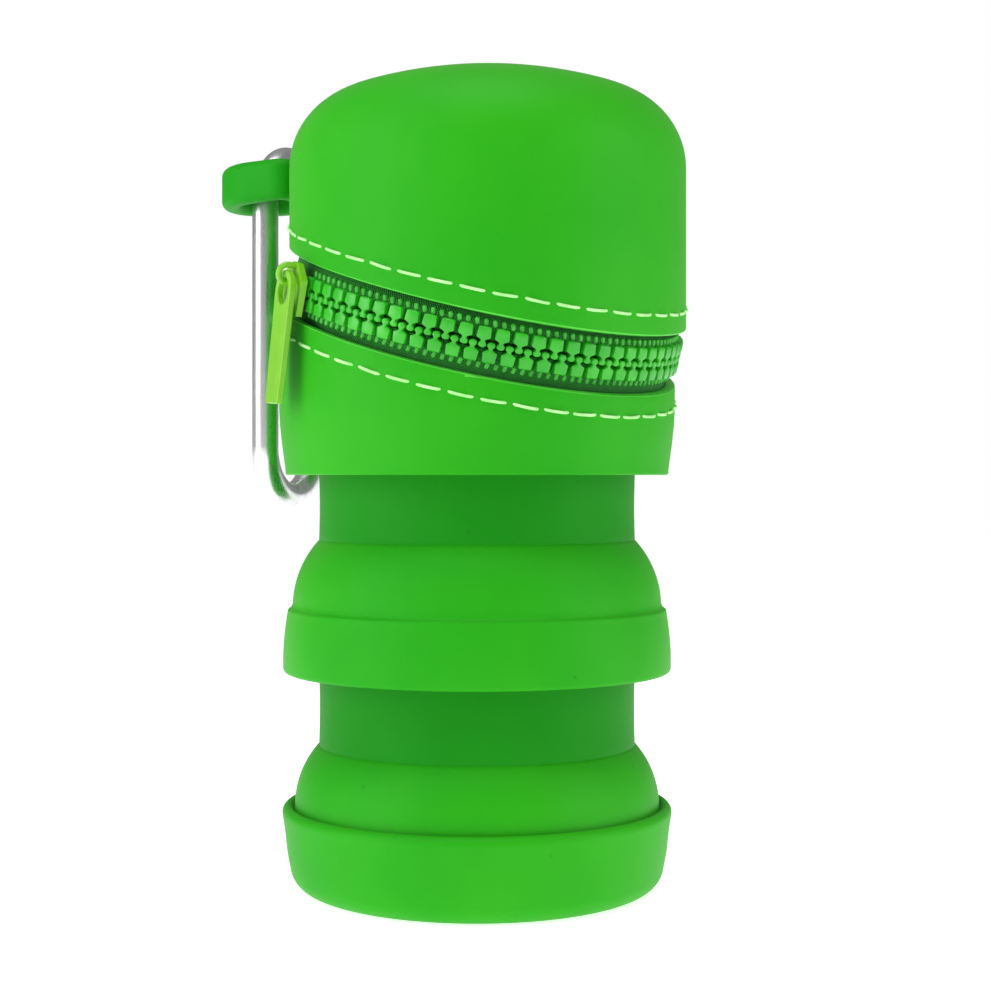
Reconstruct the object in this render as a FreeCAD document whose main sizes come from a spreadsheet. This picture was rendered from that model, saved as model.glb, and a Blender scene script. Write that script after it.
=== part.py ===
"""Collapsible silicone drinking bottle with a zipped dome cap, a screw lid and a hanging carabiner.

Units are millimetres and degrees. The bottle stands on z = 0 with its axis on Z, the front is -Y,
and everything is drawn in the open, extended state with the zip closed.
"""
import FreeCAD
import Part
import math
import os
import Sketcher
from FreeCAD import Placement, Rotation, Vector

sizes = [
    # alias, value, what it is
    ("foot_radius", 39.7, "widest radius of the foot, just under its rim"),
    ("foot_taper", 5.2, "how much narrower the flat is that the bottle stands on"),
    ("foot_round", 5.0, "radius of the foot's lower edge"),
    ("foot_height", 17.0, "height of the foot's rim"),
    ("floor_thickness", 3.0, "silicone floor"),
    ("wall", 2.0, "silicone wall of the stiff rings"),
    ("fold_wall_thickness", 1.4, "thin wall of the two folding necks"),
    ("rim_ledge", 2.5, "from the foot's widest radius in to the bottom of its flare"),
    ("flare_depth", 4.9, "from the bottom of the foot's flare in to the folding necks"),
    ("flare_height", 12.0, "height of the foot's flare"),
    ("flare_arc", 18.0, "radius of the curve of a flare's side"),
    ("lower_neck_height", 14.8, "visible height of the lower folding neck"),
    ("ring_wall", 1.95, "wall of the middle ring's band, round the gap for the foot's flare"),
    ("ring_lip_height", 13.0, "height of the middle ring's wide band"),
    ("ring_step", 0.8, "ledge on the middle ring where the skirt comes to rest"),
    ("ring_taper", 1.9, "from the middle ring's widest radius in to the bottom of its flare"),
    ("ring_flare_height", 13.0, "height of the middle ring's flare above the ledge"),
    ("ring_flare_arc", 20.0, "radius of the curve of the middle ring's flare"),
    ("upper_neck_height", 13.2, "visible height of the upper folding neck"),
    ("fold_gap", 0.45, "clearance between a flare and the ring that slides over it"),
    ("shell_room", 0.25, "extra room inside the shell, over the gap for the middle ring's flare"),
    ("skirt_taper", 1.3, "how much narrower the shell is at its bottom edge"),
    ("skirt_height", 13.5, "height over which the skirt widens to the shell radius"),
    ("shoulder_rise", 15.8, "height of the shoulder's flat above the skirt's edge"),
    ("shoulder_drop", 5.0, "where the shoulder leaves the shell wall, above the skirt's edge"),
    ("mouth_radius", 20.0, "radius of the drinking mouth"),
    ("mouth_wall", 3.0, "wall of the threaded mouth ring"),
    ("mouth_flange", 4.0, "how far the mouth ring's flanges stand out"),
    ("mouth_height", 12.5, "height of the mouth ring above the shoulder"),
    ("thread_pitch", 4.0, "pitch of the lid's thread"),
    ("thread_depth", 1.2, "height of a thread ridge"),
    ("lid_gap", 1.6, "radial room between the mouth ring and the lid, for the thread"),
    ("lid_wall", 2.8, "wall of the screw lid's skirt"),
    ("lid_top", 2.0, "thickness of the screw lid's top"),
    ("gasket_thickness", 1.8, "silicone seal between the mouth ring and the lid"),
    ("spout_radius", 6.2, "outer radius of the drinking spout"),
    ("spout_wall", 1.9, "wall of the spout"),
    ("spout_height", 6.0, "height of the spout above the lid"),
    ("flip_width", 14.0, "width of the flip cap"),
    ("flip_reach", 15.0, "from the spout's axis back to the flip cap's hinge"),
    ("flip_thickness", 3.0, "thickness of the flip cap"),
    ("flip_pin_radius", 1.2, "radius of the flip cap's hinge pin"),
    ("running_gap", 0.06, "radial clearance of a pin in its hole"),
    ("zip_rise", 20.52, "height of the zip's lowest point above the skirt's edge"),
    ("zip_shift", 1.7, "how far the zip's centre sits from the axis, away from its hinge"),
    ("zip_tilt", 17.0, "slope of the zip's plane"),
    ("zip_low_azimuth", -48.0, "compass direction in which the zip runs lowest"),
    ("zip_half_gap", 5.8, "half the gap between dome and shell, square to the zip's plane"),
    ("tape_gap", 0.7, "from the inside of the shell's wall in to the zip tapes"),
    ("tape_thickness", 0.5, "woven tape"),
    ("tape_inner_edge", 1.5, "from the zip's middle to the edge of each tape"),
    ("tape_hem", 4.5, "width of each tape that is sewn in behind an edge"),
    ("chain_proud", 0.6, "how far the front of the zip's teeth stands out from the shell"),
    ("chain_depth", 2.6, "thickness of the teeth, front to back"),
    ("tooth_pitch", 3.4, "distance from tooth to tooth in one row"),
    ("slider_azimuth", 206.0, "compass direction of the slider when closed"),
    ("slider_length", 10.0, "length of the slider along the zip"),
    ("slider_half_width", 3.6, "half the slider's width across the zip"),
    ("slider_plate", 1.2, "thickness of the slider's two plates"),
    ("slider_gap", 0.35, "clearance between the teeth and the slider's plates"),
    ("crown_wire_radius", 0.6, "wire of the slider's crown, which holds the pull tab"),
    ("crown_arc", 1.75, "radius of the crown's arch"),
    ("pull_length", 26.0, "length of the pull tab"),
    ("pull_width", 8.0, "width of the pull tab"),
    ("pull_thickness", 1.3, "thickness of the pull tab"),
    ("pull_eye", 2.7, "radius of the eye in the pull tab"),
    ("pull_lean", 5.0, "how far the pull tab leans out from the shell"),
    ("pull_skew", 13.0, "how far the pull tab leans along the zip"),
    ("hinge_azimuth", 155.0, "compass direction of the dome's hinge and of the hanging loop"),
    ("hinge_span", 56.0, "arc taken by the hinge strap"),
    ("strap_thickness", 0.9, "hinge strap"),
    ("dome_rise", 49.33, "height of the dome's crown above the zip's centre"),
    ("dome_crown_arc", 90.0, "radius of the crown"),
    ("dome_corner_arc", 16.0, "radius of the dome's rounded shoulder"),
    ("dome_wall", 1.8, "silicone wall of the dome"),
    ("dome_shift", 2.4, "how far the dome sits from the axis, away from its hinge"),
    ("stitch_pitch", 6.0, "distance from stitch to stitch"),
    ("stitch_length", 4.5, "length of thread seen in one stitch"),
    ("stitch_inset", 3.8, "from a sewn edge to its line of stitches"),
    ("stitch_thread", 0.6, "thread diameter"),
    ("loop_rise", 24.83, "underside of the hanging loop, above the zip's centre"),
    ("loop_height", 8.5, "height of the hanging loop"),
    ("loop_stand", 9.2, "centre of the loop's round end, out from the dome's wall"),
    ("loop_radius", 11.25, "outer radius of the loop's round end"),
    ("loop_hole_radius", 7.0, "radius of the loop's hole"),
    ("loop_offset", 1.75, "how far the loop's middle lies to the front of the hinge direction"),
    ("carabiner_length", 79.0, "overall length of the carabiner"),
    ("carabiner_width", 26.0, "overall width of the carabiner"),
    ("carabiner_wire", 5.6, "wire diameter of the carabiner"),
    ("carabiner_out", 1.6, "distance of the carabiner's plane from the centre of the loop's round end"),
    ("gate_length", 38.0, "length of the carabiner's gate"),
    ("gate_slot", 1.8, "width of the slots in the gate's ends"),
    ("rivet_radius", 0.8, "radius of the gate's rivet"),
]

doc = FreeCAD.newDocument("bottle")
sheet = doc.addObject("Spreadsheet::Sheet", "Dim")
for row, (alias, number, note) in enumerate(sizes, start=1):
    sheet.set(f"A{row}", alias)
    sheet.set(f"B{row}", str(number))
    sheet.set(f"C{row}", note)
    sheet.setAlias(f"B{row}", alias)
# Radii and heights that follow from the sizes above, kept in the sheet as formulas.
levels = [
    ("foot_bottom_radius", "foot_radius - foot_taper"),
    ("flare_radius", "foot_radius - rim_ledge"),
    ("neck_radius", "flare_radius - flare_depth"),
    ("ring_radius", "flare_radius + fold_gap + ring_wall"),
    ("ring_flare_radius", "ring_radius - ring_taper"),
    ("shell_radius", "ring_flare_radius + fold_gap + wall + shell_room"),
    ("skirt_radius", "shell_radius - skirt_taper"),
    ("tape_radius", "shell_radius - wall - tape_gap"),
    ("chain_radius", "shell_radius + chain_proud"),
    ("tape_outer_edge", "zip_half_gap + tape_hem"),
    ("stitch_line", "zip_half_gap + stitch_inset"),
    ("loop_reach", "shell_radius - dome_shift + loop_stand"),
    ("carabiner_reach", "loop_reach + carabiner_out"),
    ("lip_z", "foot_height + flare_height + lower_neck_height"),
    ("ledge_z", "lip_z + ring_lip_height"),
    ("ring_top_z", "ledge_z + ring_step + ring_flare_height"),
    ("skirt_z", "ring_top_z + upper_neck_height"),
    ("flare_top_z", "foot_height + flare_height"),
    ("fold_travel", "lip_z - foot_height - ring_step"),
    ("shoulder_z", "skirt_z + shoulder_rise"),
    ("seat_z", "shoulder_z + wall + mouth_height"),
    ("lid_z", "seat_z + gasket_thickness"),
    ("spout_z", "lid_z + lid_top + spout_height"),
    ("zip_height", "skirt_z + zip_rise + shell_radius * tan(zip_tilt)"),
    ("dome_height", "zip_height + dome_rise"),
    ("loop_bottom", "zip_height + loop_rise"),
    ("crown_level", "zip_half_gap - 0.55 - crown_wire_radius - crown_arc"),
]
for row, (alias, formula) in enumerate(levels, start=len(sizes) + 1):
    sheet.set(f"A{row}", alias)
    sheet.set(f"B{row}", "=" + formula)
    sheet.setAlias(f"B{row}", alias)
doc.recompute()


def dim(expression):
    """The number that an expression over the sheet's aliases stands for."""
    return float(sheet.evalExpression(expression))


def bound(expression):
    """The same expression as another object has to write it, with the sheet's name before each alias."""
    words = sorted([s[0] for s in sizes] + [s[0] for s in levels], key=len, reverse=True)
    out = ""
    i = 0
    while i < len(expression):
        for word in words:
            if expression.startswith(word, i) and not (i and (expression[i - 1].isalnum() or expression[i - 1] == "_")):
                out += "Dim." + word
                i += len(word)
                break
        else:
            out += expression[i]
            i += 1
    return out


def plane(body, role):
    return next(f for f in body.Origin.OriginFeatures if f.Role == role)


def new_body(label):
    body = doc.addObject("PartDesign::Body", label)
    body.Label = label
    return body


def new_sketch(body, role, offset=None):
    """A sketch on one of the body's own origin planes, moved along the plane's normal by an expression."""
    sketch = body.newObject("Sketcher::SketchObject", body.Name + "_sketch")
    sketch.AttachmentSupport = (plane(body, role), "")
    sketch.MapMode = "FlatFace"
    if offset is not None:
        sketch.setExpression("AttachmentOffset.Base.z", bound(offset))
    return sketch


def fix_point(sketch, geometry, end, x, y):
    """Ties one end of a piece of geometry to the sketch's origin by two expressions."""
    for axis, expression, line in (("DistanceX", x, -2), ("DistanceY", y, -1)):
        if expression == "0":
            sketch.addConstraint(Sketcher.Constraint("PointOnObject", geometry, end, line))
            continue
        i = sketch.addConstraint(Sketcher.Constraint(axis, -1, 1, geometry, end, dim(expression)))
        sketch.setExpression(f"Constraints[{i}]", bound(expression))


def outline(sketch, corners, closed=True):
    """An outline through corners (x, y), given as expressions, closed unless told otherwise.

    A third entry (radius, side) makes the edge that leaves the corner an arc: side 1 bulges to the
    right of the way from corner to corner, side -1 to the left."""
    points = [Vector(dim(c[0]), dim(c[1]), 0) for c in corners]
    count = len(corners)
    ends = []
    spans = count if closed else count - 1
    for i, corner in enumerate(corners[:spans]):
        a, b = points[i], points[(i + 1) % count]
        if len(corner) < 3:
            g = sketch.addGeometry(Part.LineSegment(a, b))
            ends.append((g, 1, 2))
            continue
        radius, side = corner[2]
        half = (b - a).Length / 2
        r = dim(radius)
        left = Vector(-(b - a).y, (b - a).x, 0).normalize()
        centre = (a + b) / 2 + left * side * math.sqrt(r * r - half * half)
        start = math.atan2(a.y - centre.y, a.x - centre.x)
        stop = math.atan2(b.y - centre.y, b.x - centre.x)
        round_edge = Part.Circle(centre, Vector(0, 0, 1), r)
        if side > 0:
            g = sketch.addGeometry(Part.ArcOfCircle(round_edge, start, stop))
            ends.append((g, 1, 2))
        else:
            g = sketch.addGeometry(Part.ArcOfCircle(round_edge, stop, start))
            ends.append((g, 2, 1))
        i = sketch.addConstraint(Sketcher.Constraint("Radius", g, r))
        sketch.setExpression(f"Constraints[{i}]", bound(radius))
    for i in range(spans if closed else spans - 1):
        g, _, last = ends[i]
        h, first, _ = ends[(i + 1) % count]
        sketch.addConstraint(Sketcher.Constraint("Coincident", g, last, h, first))
    for i, corner in enumerate(corners[:spans]):
        fix_point(sketch, ends[i][0], ends[i][1], corner[0], corner[1])
    if not closed:
        fix_point(sketch, ends[-1][0], ends[-1][2], corners[-1][0], corners[-1][1])


def circle(sketch, x, y, radius):
    g = sketch.addGeometry(Part.Circle(Vector(dim(x), dim(y), 0), Vector(0, 0, 1), dim(radius)))
    fix_point(sketch, g, 3, x, y)
    i = sketch.addConstraint(Sketcher.Constraint("Radius", g, dim(radius)))
    sketch.setExpression(f"Constraints[{i}]", bound(radius))


def revolve(body, corners, angle=360):
    """Turns an outline of radii and heights about the body's Z axis."""
    sketch = new_sketch(body, "XZ_Plane")
    outline(sketch, corners)
    turn = body.newObject("PartDesign::Revolution", body.Name + "_turn")
    turn.Profile = sketch
    turn.ReferenceAxis = (sketch, ["V_Axis"])
    turn.Angle = angle
    turn.Midplane = angle < 360
    doc.recompute()
    return turn


def pad(body, draw, role, offset, length, both=False):
    """Pads what draw(sketch) puts on an origin plane moved by offset."""
    sketch = new_sketch(body, role, offset)
    draw(sketch)
    feature = body.newObject("PartDesign::Pad", body.Name + "_pad")
    feature.Profile = sketch
    feature.setExpression("Length", bound(length))
    feature.Midplane = both
    doc.recompute()
    return feature


def pocket(body, draw, role, offset, length, both=False, back=False):
    """Cuts what draw(sketch) puts on an origin plane, and checks that it did cut."""
    before = body.Shape.Volume
    sketch = new_sketch(body, role, offset)
    draw(sketch)
    feature = body.newObject("PartDesign::Pocket", body.Name + "_pocket")
    feature.Profile = sketch
    feature.setExpression("Length", bound(length))
    feature.Midplane = both
    feature.Reversed = back
    doc.recompute()
    if not body.Shape.Volume < before - 1e-6:
        raise RuntimeError(f"a pocket in {body.Label} cuts nothing")
    return feature


def rectangle(x0, y0, x1, y1):
    """A drawing of a rectangle, for pad and pocket."""
    return lambda sketch: outline(sketch, [(x0, y0), (x1, y0), (x1, y1), (x0, y1)])


def disc(x, y, radius):
    return lambda sketch: circle(sketch, x, y, radius)


def helix_ridge(body, corners, start):
    """Winds a small outline, drawn in radii and heights above start, up the body's Z axis."""
    sketch = new_sketch(body, "XZ_Plane")
    outline(sketch, [(x, f"{start} + {y}") for x, y in corners])
    ridge = body.newObject("PartDesign::AdditiveHelix", body.Name + "_thread")
    ridge.Profile = sketch
    ridge.ReferenceAxis = (sketch, ["V_Axis"])
    ridge.Mode = 0
    ridge.setExpression("Pitch", bound("thread_pitch"))
    ridge.setExpression("Height", bound("thread_pitch * 1.4"))
    doc.recompute()
    return ridge


def edges_at(shape, test):
    """Names of the shape's edges whose middle passes a test."""
    return [f"Edge{i}" for i, e in enumerate(shape.Edges, start=1) if test(e.CenterOfMass, e)]


def round_edges(body, test, radius):
    base = body.Tip
    names = edges_at(base.Shape, test)
    if not names:
        raise RuntimeError(f"no edge to round on {body.Label}")
    fillet = body.newObject("PartDesign::Fillet", body.Name + "_fillet")
    fillet.Base = (base, names)
    fillet.setExpression("Radius", bound(radius))
    doc.recompute()
    return fillet


def boolean(kind, label, base, tool):
    result = doc.addObject(kind, label)
    result.Label = label
    result.Base = base
    result.Tool = tool
    doc.recompute()
    return result


def drum(label, radius, height, place):
    """A cylinder bound to the sheet, used as a piece or as a cutting tool."""
    body = doc.addObject("Part::Cylinder", label)
    body.Label = label
    body.setExpression("Radius", bound(radius))
    body.setExpression("Height", bound(height))
    body.Placement = place
    return body


# ---------------------------------------------------------------- frames that the pieces share
low = math.radians(dim("zip_low_azimuth"))
hinge_frame = Placement(Vector(0, 0, 0), Rotation(Vector(0, 0, 1), dim("hinge_azimuth")))
hinge_way = hinge_frame.Rotation.multVec(Vector(1, 0, 0))
dome_centre = hinge_way * -dim("dome_shift")
zip_centre = hinge_way * -dim("zip_shift") + Vector(0, 0, dim("zip_height"))
zip_frame = Placement(
    zip_centre,
    Rotation(Vector(0, 0, 1), dim("zip_low_azimuth")) * Rotation(Vector(0, 1, 0), dim("zip_tilt")),
)


def zip_angle(azimuth):
    """Angle round the zip's own circle of the point that lies in a compass direction, 0 at the low side."""
    turned = math.radians(azimuth) - low
    tilt = math.radians(dim("zip_tilt"))
    return math.degrees(math.atan2(math.sin(turned), math.cos(turned) * math.cos(tilt))) % 360


def zip_level(x, y):
    """Height of the zip's plane over a point of the floor."""
    reach = (x - zip_centre.x) * math.cos(low) + (y - zip_centre.y) * math.sin(low)
    return zip_centre.z - reach * math.tan(math.radians(dim("zip_tilt")))


slider_angle = zip_angle(dim("slider_azimuth"))
half_hinge = "hinge_span / 2"
chain_start = slider_angle + math.degrees(dim("slider_length / 2 + 1") / dim("chain_radius"))
chain_end = zip_angle(dim("hinge_azimuth - hinge_span / 2")) + 360 - 22


def cutting_slab(label, low_side, high_side):
    """A wide slab in the zip's frame, from one height to another, as expressions."""
    slab = doc.addObject("Part::Box", label)
    slab.setExpression("Length", bound("shell_radius * 4"))
    slab.setExpression("Width", bound("shell_radius * 4"))
    slab.setExpression("Height", bound(f"{high_side} - ({low_side})"))
    corner = Vector(-2 * dim("shell_radius"), -2 * dim("shell_radius"), dim(low_side))
    slab.Placement = zip_frame * Placement(corner, Rotation())
    return slab


# ---------------------------------------------------------------- the folding bottle
def make_foot():
    """The foot, its floor and the lowest flare, one moulding."""
    body = new_body("base_cup")
    revolve(body, [
        ("0", "0"),
        ("foot_bottom_radius", "0", ("foot_round", 1)),
        ("foot_bottom_radius + foot_round * 0.7", "foot_round * 0.7"),
        ("foot_radius", "foot_height - 2", ("1.6", 1)),
        ("foot_radius - 1.2", "foot_height", ("1.2", 1)),
        ("flare_radius + 0.3", "foot_height - 0.9"),
        ("flare_radius", "foot_height + 0.4", ("flare_arc", 1)),
        ("neck_radius", "flare_top_z"),
        ("neck_radius - wall", "flare_top_z"),
        ("flare_radius - wall - 0.6", "foot_height + 3"),
        ("flare_radius - wall - 0.6", "floor_thickness + 2"),
        ("flare_radius - wall - 2.6", "floor_thickness"),
        ("0", "floor_thickness"),
    ])


def make_fold_wall(label, bottom, top, outer):
    """A thin neck that turns inside out when the bottle is folded, with a web out to the ring above."""
    body = new_body(label)
    revolve(body, [
        ("neck_radius - fold_wall_thickness", bottom),
        ("neck_radius", bottom),
        ("neck_radius", top),
        (outer, top),
        (outer, f"{top} + fold_wall_thickness"),
        ("neck_radius - fold_wall_thickness", f"{top} + fold_wall_thickness"),
    ])


def make_middle_ring():
    body = new_body("middle_ring")
    revolve(body, [
        ("flare_radius + fold_gap", "lip_z"),
        ("ring_radius - 0.9", "lip_z", ("0.9", 1)),
        ("ring_radius", "lip_z + 0.9"),
        ("ring_radius", "lip_z + 4", ("62", 1)),
        ("ring_flare_radius + ring_step", "ledge_z"),
        ("ring_flare_radius", "ledge_z + ring_step", ("ring_flare_arc", 1)),
        ("neck_radius", "ring_top_z"),
        ("neck_radius - wall", "ring_top_z"),
        ("ring_flare_radius - wall - 0.8", "ring_top_z - 7.6"),
        ("ring_flare_radius - 1", "ledge_z - 1"),
        ("flare_radius + fold_gap", "lip_z + 5"),
    ])


def make_shell():
    """The stiff shell that the bottle folds up into: skirt, shoulder and the edge that the zip is sewn to."""
    body = new_body("shell_blank")
    revolve(body, [
        ("ring_flare_radius + fold_gap", "skirt_z"),
        ("skirt_radius - 0.5", "skirt_z", ("0.6", 1)),
        ("skirt_radius", "skirt_z + 0.6"),
        ("shell_radius", "skirt_z + skirt_height"),
        ("shell_radius", "zip_height + shell_radius"),
        ("shell_radius - wall", "zip_height + shell_radius"),
        ("shell_radius - wall", "skirt_z + shoulder_drop + 3.2"),
        ("shell_radius - wall - 2.8", "shoulder_z - 1.5"),
        ("mouth_radius + mouth_wall + mouth_flange + 4.4", "shoulder_z + wall - 0.8"),
        ("mouth_radius + mouth_wall + running_gap + 1.5", "shoulder_z + wall"),
        ("mouth_radius + mouth_wall + running_gap", "shoulder_z + wall"),
        ("mouth_radius + mouth_wall + running_gap", "shoulder_z"),
        ("mouth_radius + mouth_wall + mouth_flange + 4", "shoulder_z - 0.6"),
        ("shell_radius - wall - 4", "shoulder_z - 2.6"),
        ("ring_flare_radius + fold_gap + shell_room * 0.6", "skirt_z + shoulder_drop"),
    ])
    boolean("Part::Cut", "body_shell", body, cutting_slab("shell_trim", "-zip_half_gap", "shell_radius * 3"))


# ---------------------------------------------------------------- mouth and lid
def make_mouth_ring():
    """The threaded ring, whose flanges clamp the edge of the shoulder."""
    body = new_body("mouth_ring")
    outer = "mouth_radius + mouth_wall"
    revolve(body, [
        ("mouth_radius", "shoulder_z - 2"),
        (f"{outer} + mouth_flange", "shoulder_z - 2"),
        (f"{outer} + mouth_flange", "shoulder_z - 0.62"),
        (outer, "shoulder_z - 0.05"),
        (outer, "shoulder_z + wall + 0.05"),
        (f"{outer} + 1.4", "shoulder_z + wall + 0.05"),
        (f"{outer} + 1.4", "shoulder_z + wall + 1.2"),
        (outer, "shoulder_z + wall + 1.6"),
        (outer, "seat_z"),
        ("mouth_radius", "seat_z"),
    ])
    helix_ridge(body, [
        (f"{outer} - 0.2", "0"),
        (f"{outer} + thread_depth", "0.5"),
        (f"{outer} + thread_depth", "1.0"),
        (f"{outer} - 0.2", "1.5"),
    ], "shoulder_z + wall + 3")


def make_gasket():
    body = new_body("lid_gasket")
    revolve(body, [
        ("mouth_radius + 0.4", "seat_z + 0.02"),
        ("mouth_radius + mouth_wall + lid_gap - 0.4", "seat_z + 0.02"),
        ("mouth_radius + mouth_wall + lid_gap - 0.4", "lid_z - 0.02"),
        ("mouth_radius + 0.4", "lid_z - 0.02"),
    ])


def make_lid():
    """The screw lid with its spout, finger flutes and the two ears of the flip cap's hinge."""
    body = new_body("screw_lid")
    inner = "mouth_radius + mouth_wall + lid_gap"
    revolve(body, [
        ("spout_radius - spout_wall", "lid_z"),
        (inner, "lid_z"),
        (inner, "shoulder_z + wall + 2"),
        (f"{inner} + lid_wall", "shoulder_z + wall + 2"),
        (f"{inner} + lid_wall", "lid_z + lid_top - 1.2", ("1.2", 1)),
        (f"{inner} + lid_wall - 1.2", "lid_z + lid_top"),
        ("spout_radius + 1", "lid_z + lid_top", ("1", -1)),
        ("spout_radius", "lid_z + lid_top + 1"),
        ("spout_radius", "spout_z"),
        ("spout_radius - spout_wall", "spout_z"),
    ])
    flute = pocket(body, disc(f"{inner} + lid_wall + 0.7", "0", "1.5"), "XY_Plane", "lid_z - 2.2",
                   "lid_z", back=False)
    around = body.newObject("PartDesign::PolarPattern", "lid_flutes")
    around.Originals = [flute]
    around.Axis = (plane(body, "Z_Axis"), [""])
    around.Angle = 360
    around.Occurrences = 28
    body.Tip = around
    doc.recompute()
    ear = "flip_width / 2 + 1.6"
    gap = "flip_width / 2 - 1.2"
    back = "flip_reach - 2.6"
    for x0, x1 in ((gap, ear), (f"-({ear})", f"-({gap})")):
        pad(body, rectangle(x0, back, x1, "flip_reach + 2.6"), "XY_Plane", "lid_z + lid_top - 0.3",
            "spout_height + 3.1")
    pocket(body, disc("flip_reach", "spout_z", "flip_pin_radius + 0.01"), "YZ_Plane", "0",
                  "flip_width * 2", both=True)
    helix_ridge(body, [
        (f"{inner} + 0.2", "0"),
        (f"{inner} + 0.2", "1.5"),
        (f"{inner} - thread_depth", "1.0"),
        (f"{inner} - thread_depth", "0.5"),
    ], "shoulder_z + wall + 3 + thread_pitch / 2")


def make_flip_cap():
    """The cap over the spout: a knuckle on the pin, a lid plate, a plug ring and a thumb tab."""
    body = new_body("flip_cap")
    half = "(flip_width / 2 - 1.5)"
    pad(body, disc("flip_reach", "spout_z", "flip_pin_radius + 1.5"), "YZ_Plane", "0", f"2 * {half}", both=True)
    pad(body, rectangle(f"-{half}", "-11", half, "flip_reach"), "XY_Plane", "spout_z + 0.15",
        "flip_thickness - 0.15")
    pocket(body, disc("flip_reach", "spout_z", "flip_pin_radius + running_gap"), "YZ_Plane", "0",
           "flip_width * 2", both=True)
    round_edges(body, lambda c, e: abs(c.x) > dim(half) - 0.1 and c.y < -10 and e.Length < 4, "4.5")
    body2 = new_body("spout_plug")
    revolve(body2, [
        ("0", "spout_z - 2.6"),
        ("spout_radius - spout_wall - 1.1", "spout_z - 2.6"),
        ("spout_radius - spout_wall - 0.4", "spout_z - 1"),
        ("spout_radius - spout_wall - 0.4", "spout_z + 0.13"),
        ("0", "spout_z + 0.13"),
    ])
    drum("flip_pin", "flip_pin_radius", "flip_width + 3.2",
         Placement(Vector(-dim("flip_width / 2 + 1.6"), dim("flip_reach"), dim("spout_z")),
                   Rotation(Vector(0, 1, 0), 90)))


# ---------------------------------------------------------------- dome, hinge and loop
def dome_outline(radius, crown, corner, top):
    """Outline of a dome from its open bottom up: straight wall, corner arc and crown arc."""
    corner_x = radius - corner
    spine = top - crown
    corner_y = spine + math.sqrt((crown - corner) ** 2 - corner_x ** 2)
    meet = math.atan2(corner_y - spine, corner_x)
    return corner_y, Vector(corner_x + corner * math.cos(meet), corner_y + corner * math.sin(meet), 0)


def make_dome():
    """The zipped dome: wall, rounded shoulder and crown, with the sloping edge that the zip is sewn to."""
    corner_x = "(shell_radius - dome_corner_arc)"
    spine = "(dome_height - dome_crown_arc)"
    rise = f"sqrt((dome_crown_arc - dome_corner_arc) ^ 2 - {corner_x} ^ 2)"
    slope = f"{rise} / (dome_crown_arc - dome_corner_arc)"
    run = f"{corner_x} / (dome_crown_arc - dome_corner_arc)"

    def meets(corner_arc):
        return (f"{corner_x} + {corner_arc} * {run}", f"{spine} + {rise} + {corner_arc} * {slope}")

    inner_arc = "(dome_corner_arc - dome_wall)"
    body = new_body("dome_blank")
    revolve(body, [
        ("shell_radius - dome_wall", "zip_height - shell_radius"),
        ("shell_radius", "zip_height - shell_radius"),
        ("shell_radius", f"{spine} + {rise}", ("dome_corner_arc", 1)),
        (*meets("dome_corner_arc"), ("dome_crown_arc", 1)),
        ("0", "dome_height"),
        ("0", "dome_height - dome_wall", ("dome_crown_arc - dome_wall", -1)),
        (*meets(inner_arc), (inner_arc, -1)),
        ("shell_radius - dome_wall", f"{spine} + {rise}"),
    ])
    body.Placement = Placement(dome_centre, Rotation())
    boolean("Part::Cut", "dome_cap", body, cutting_slab("dome_trim", "-shell_radius * 3", "zip_half_gap"))


def make_tube_slice(label, radius, thickness, low_side, high_side, start, stop, centre):
    """Part of an upright thin tube about a centre, from one compass direction to another, between two sloping planes."""
    body = new_body(label + "_blank")
    revolve(body, [
        (f"{radius} - {thickness}", "zip_height - shell_radius"),
        (radius, "zip_height - shell_radius"),
        (radius, "zip_height + shell_radius"),
        (f"{radius} - {thickness}", "zip_height + shell_radius"),
    ], stop - start)
    body.Placement = Placement(centre, Rotation(Vector(0, 0, 1), (start + stop) / 2))
    boolean("Part::Common", label, body, cutting_slab(label + "_slab", low_side, high_side))


def compass(angle):
    """Compass direction of a point on the zip's circle."""
    at = zip_frame.Rotation.multVec(Vector(math.cos(math.radians(angle)), math.sin(math.radians(angle)), 0))
    around = math.degrees(math.atan2(at.y, at.x))
    while around < angle + dim("zip_low_azimuth") - 90:
        around += 360
    return around


def make_tapes():
    lower_start = dim("hinge_azimuth + hinge_span / 2") + 1
    lower_stop = dim("hinge_azimuth - hinge_span / 2") + 359
    make_tube_slice("lower_tape", "tape_radius", "tape_thickness", "-tape_outer_edge",
                    "-tape_inner_edge", lower_start, lower_stop, hinge_way * -dim("zip_shift * 0.3"))
    make_tube_slice("upper_tape", "tape_radius", "tape_thickness", "tape_inner_edge",
                    "tape_outer_edge", compass(chain_start), compass(chain_end),
                    hinge_way * -dim("(zip_shift * 0.3 + dome_shift) / 2 + 0.1"))
    make_tube_slice("hinge_strap", "shell_radius - dome_wall - 0.2", "strap_thickness",
                    "-tape_outer_edge", "tape_outer_edge",
                    dim("hinge_azimuth - hinge_span / 2"), dim("hinge_azimuth + hinge_span / 2"), dome_centre)


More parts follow.
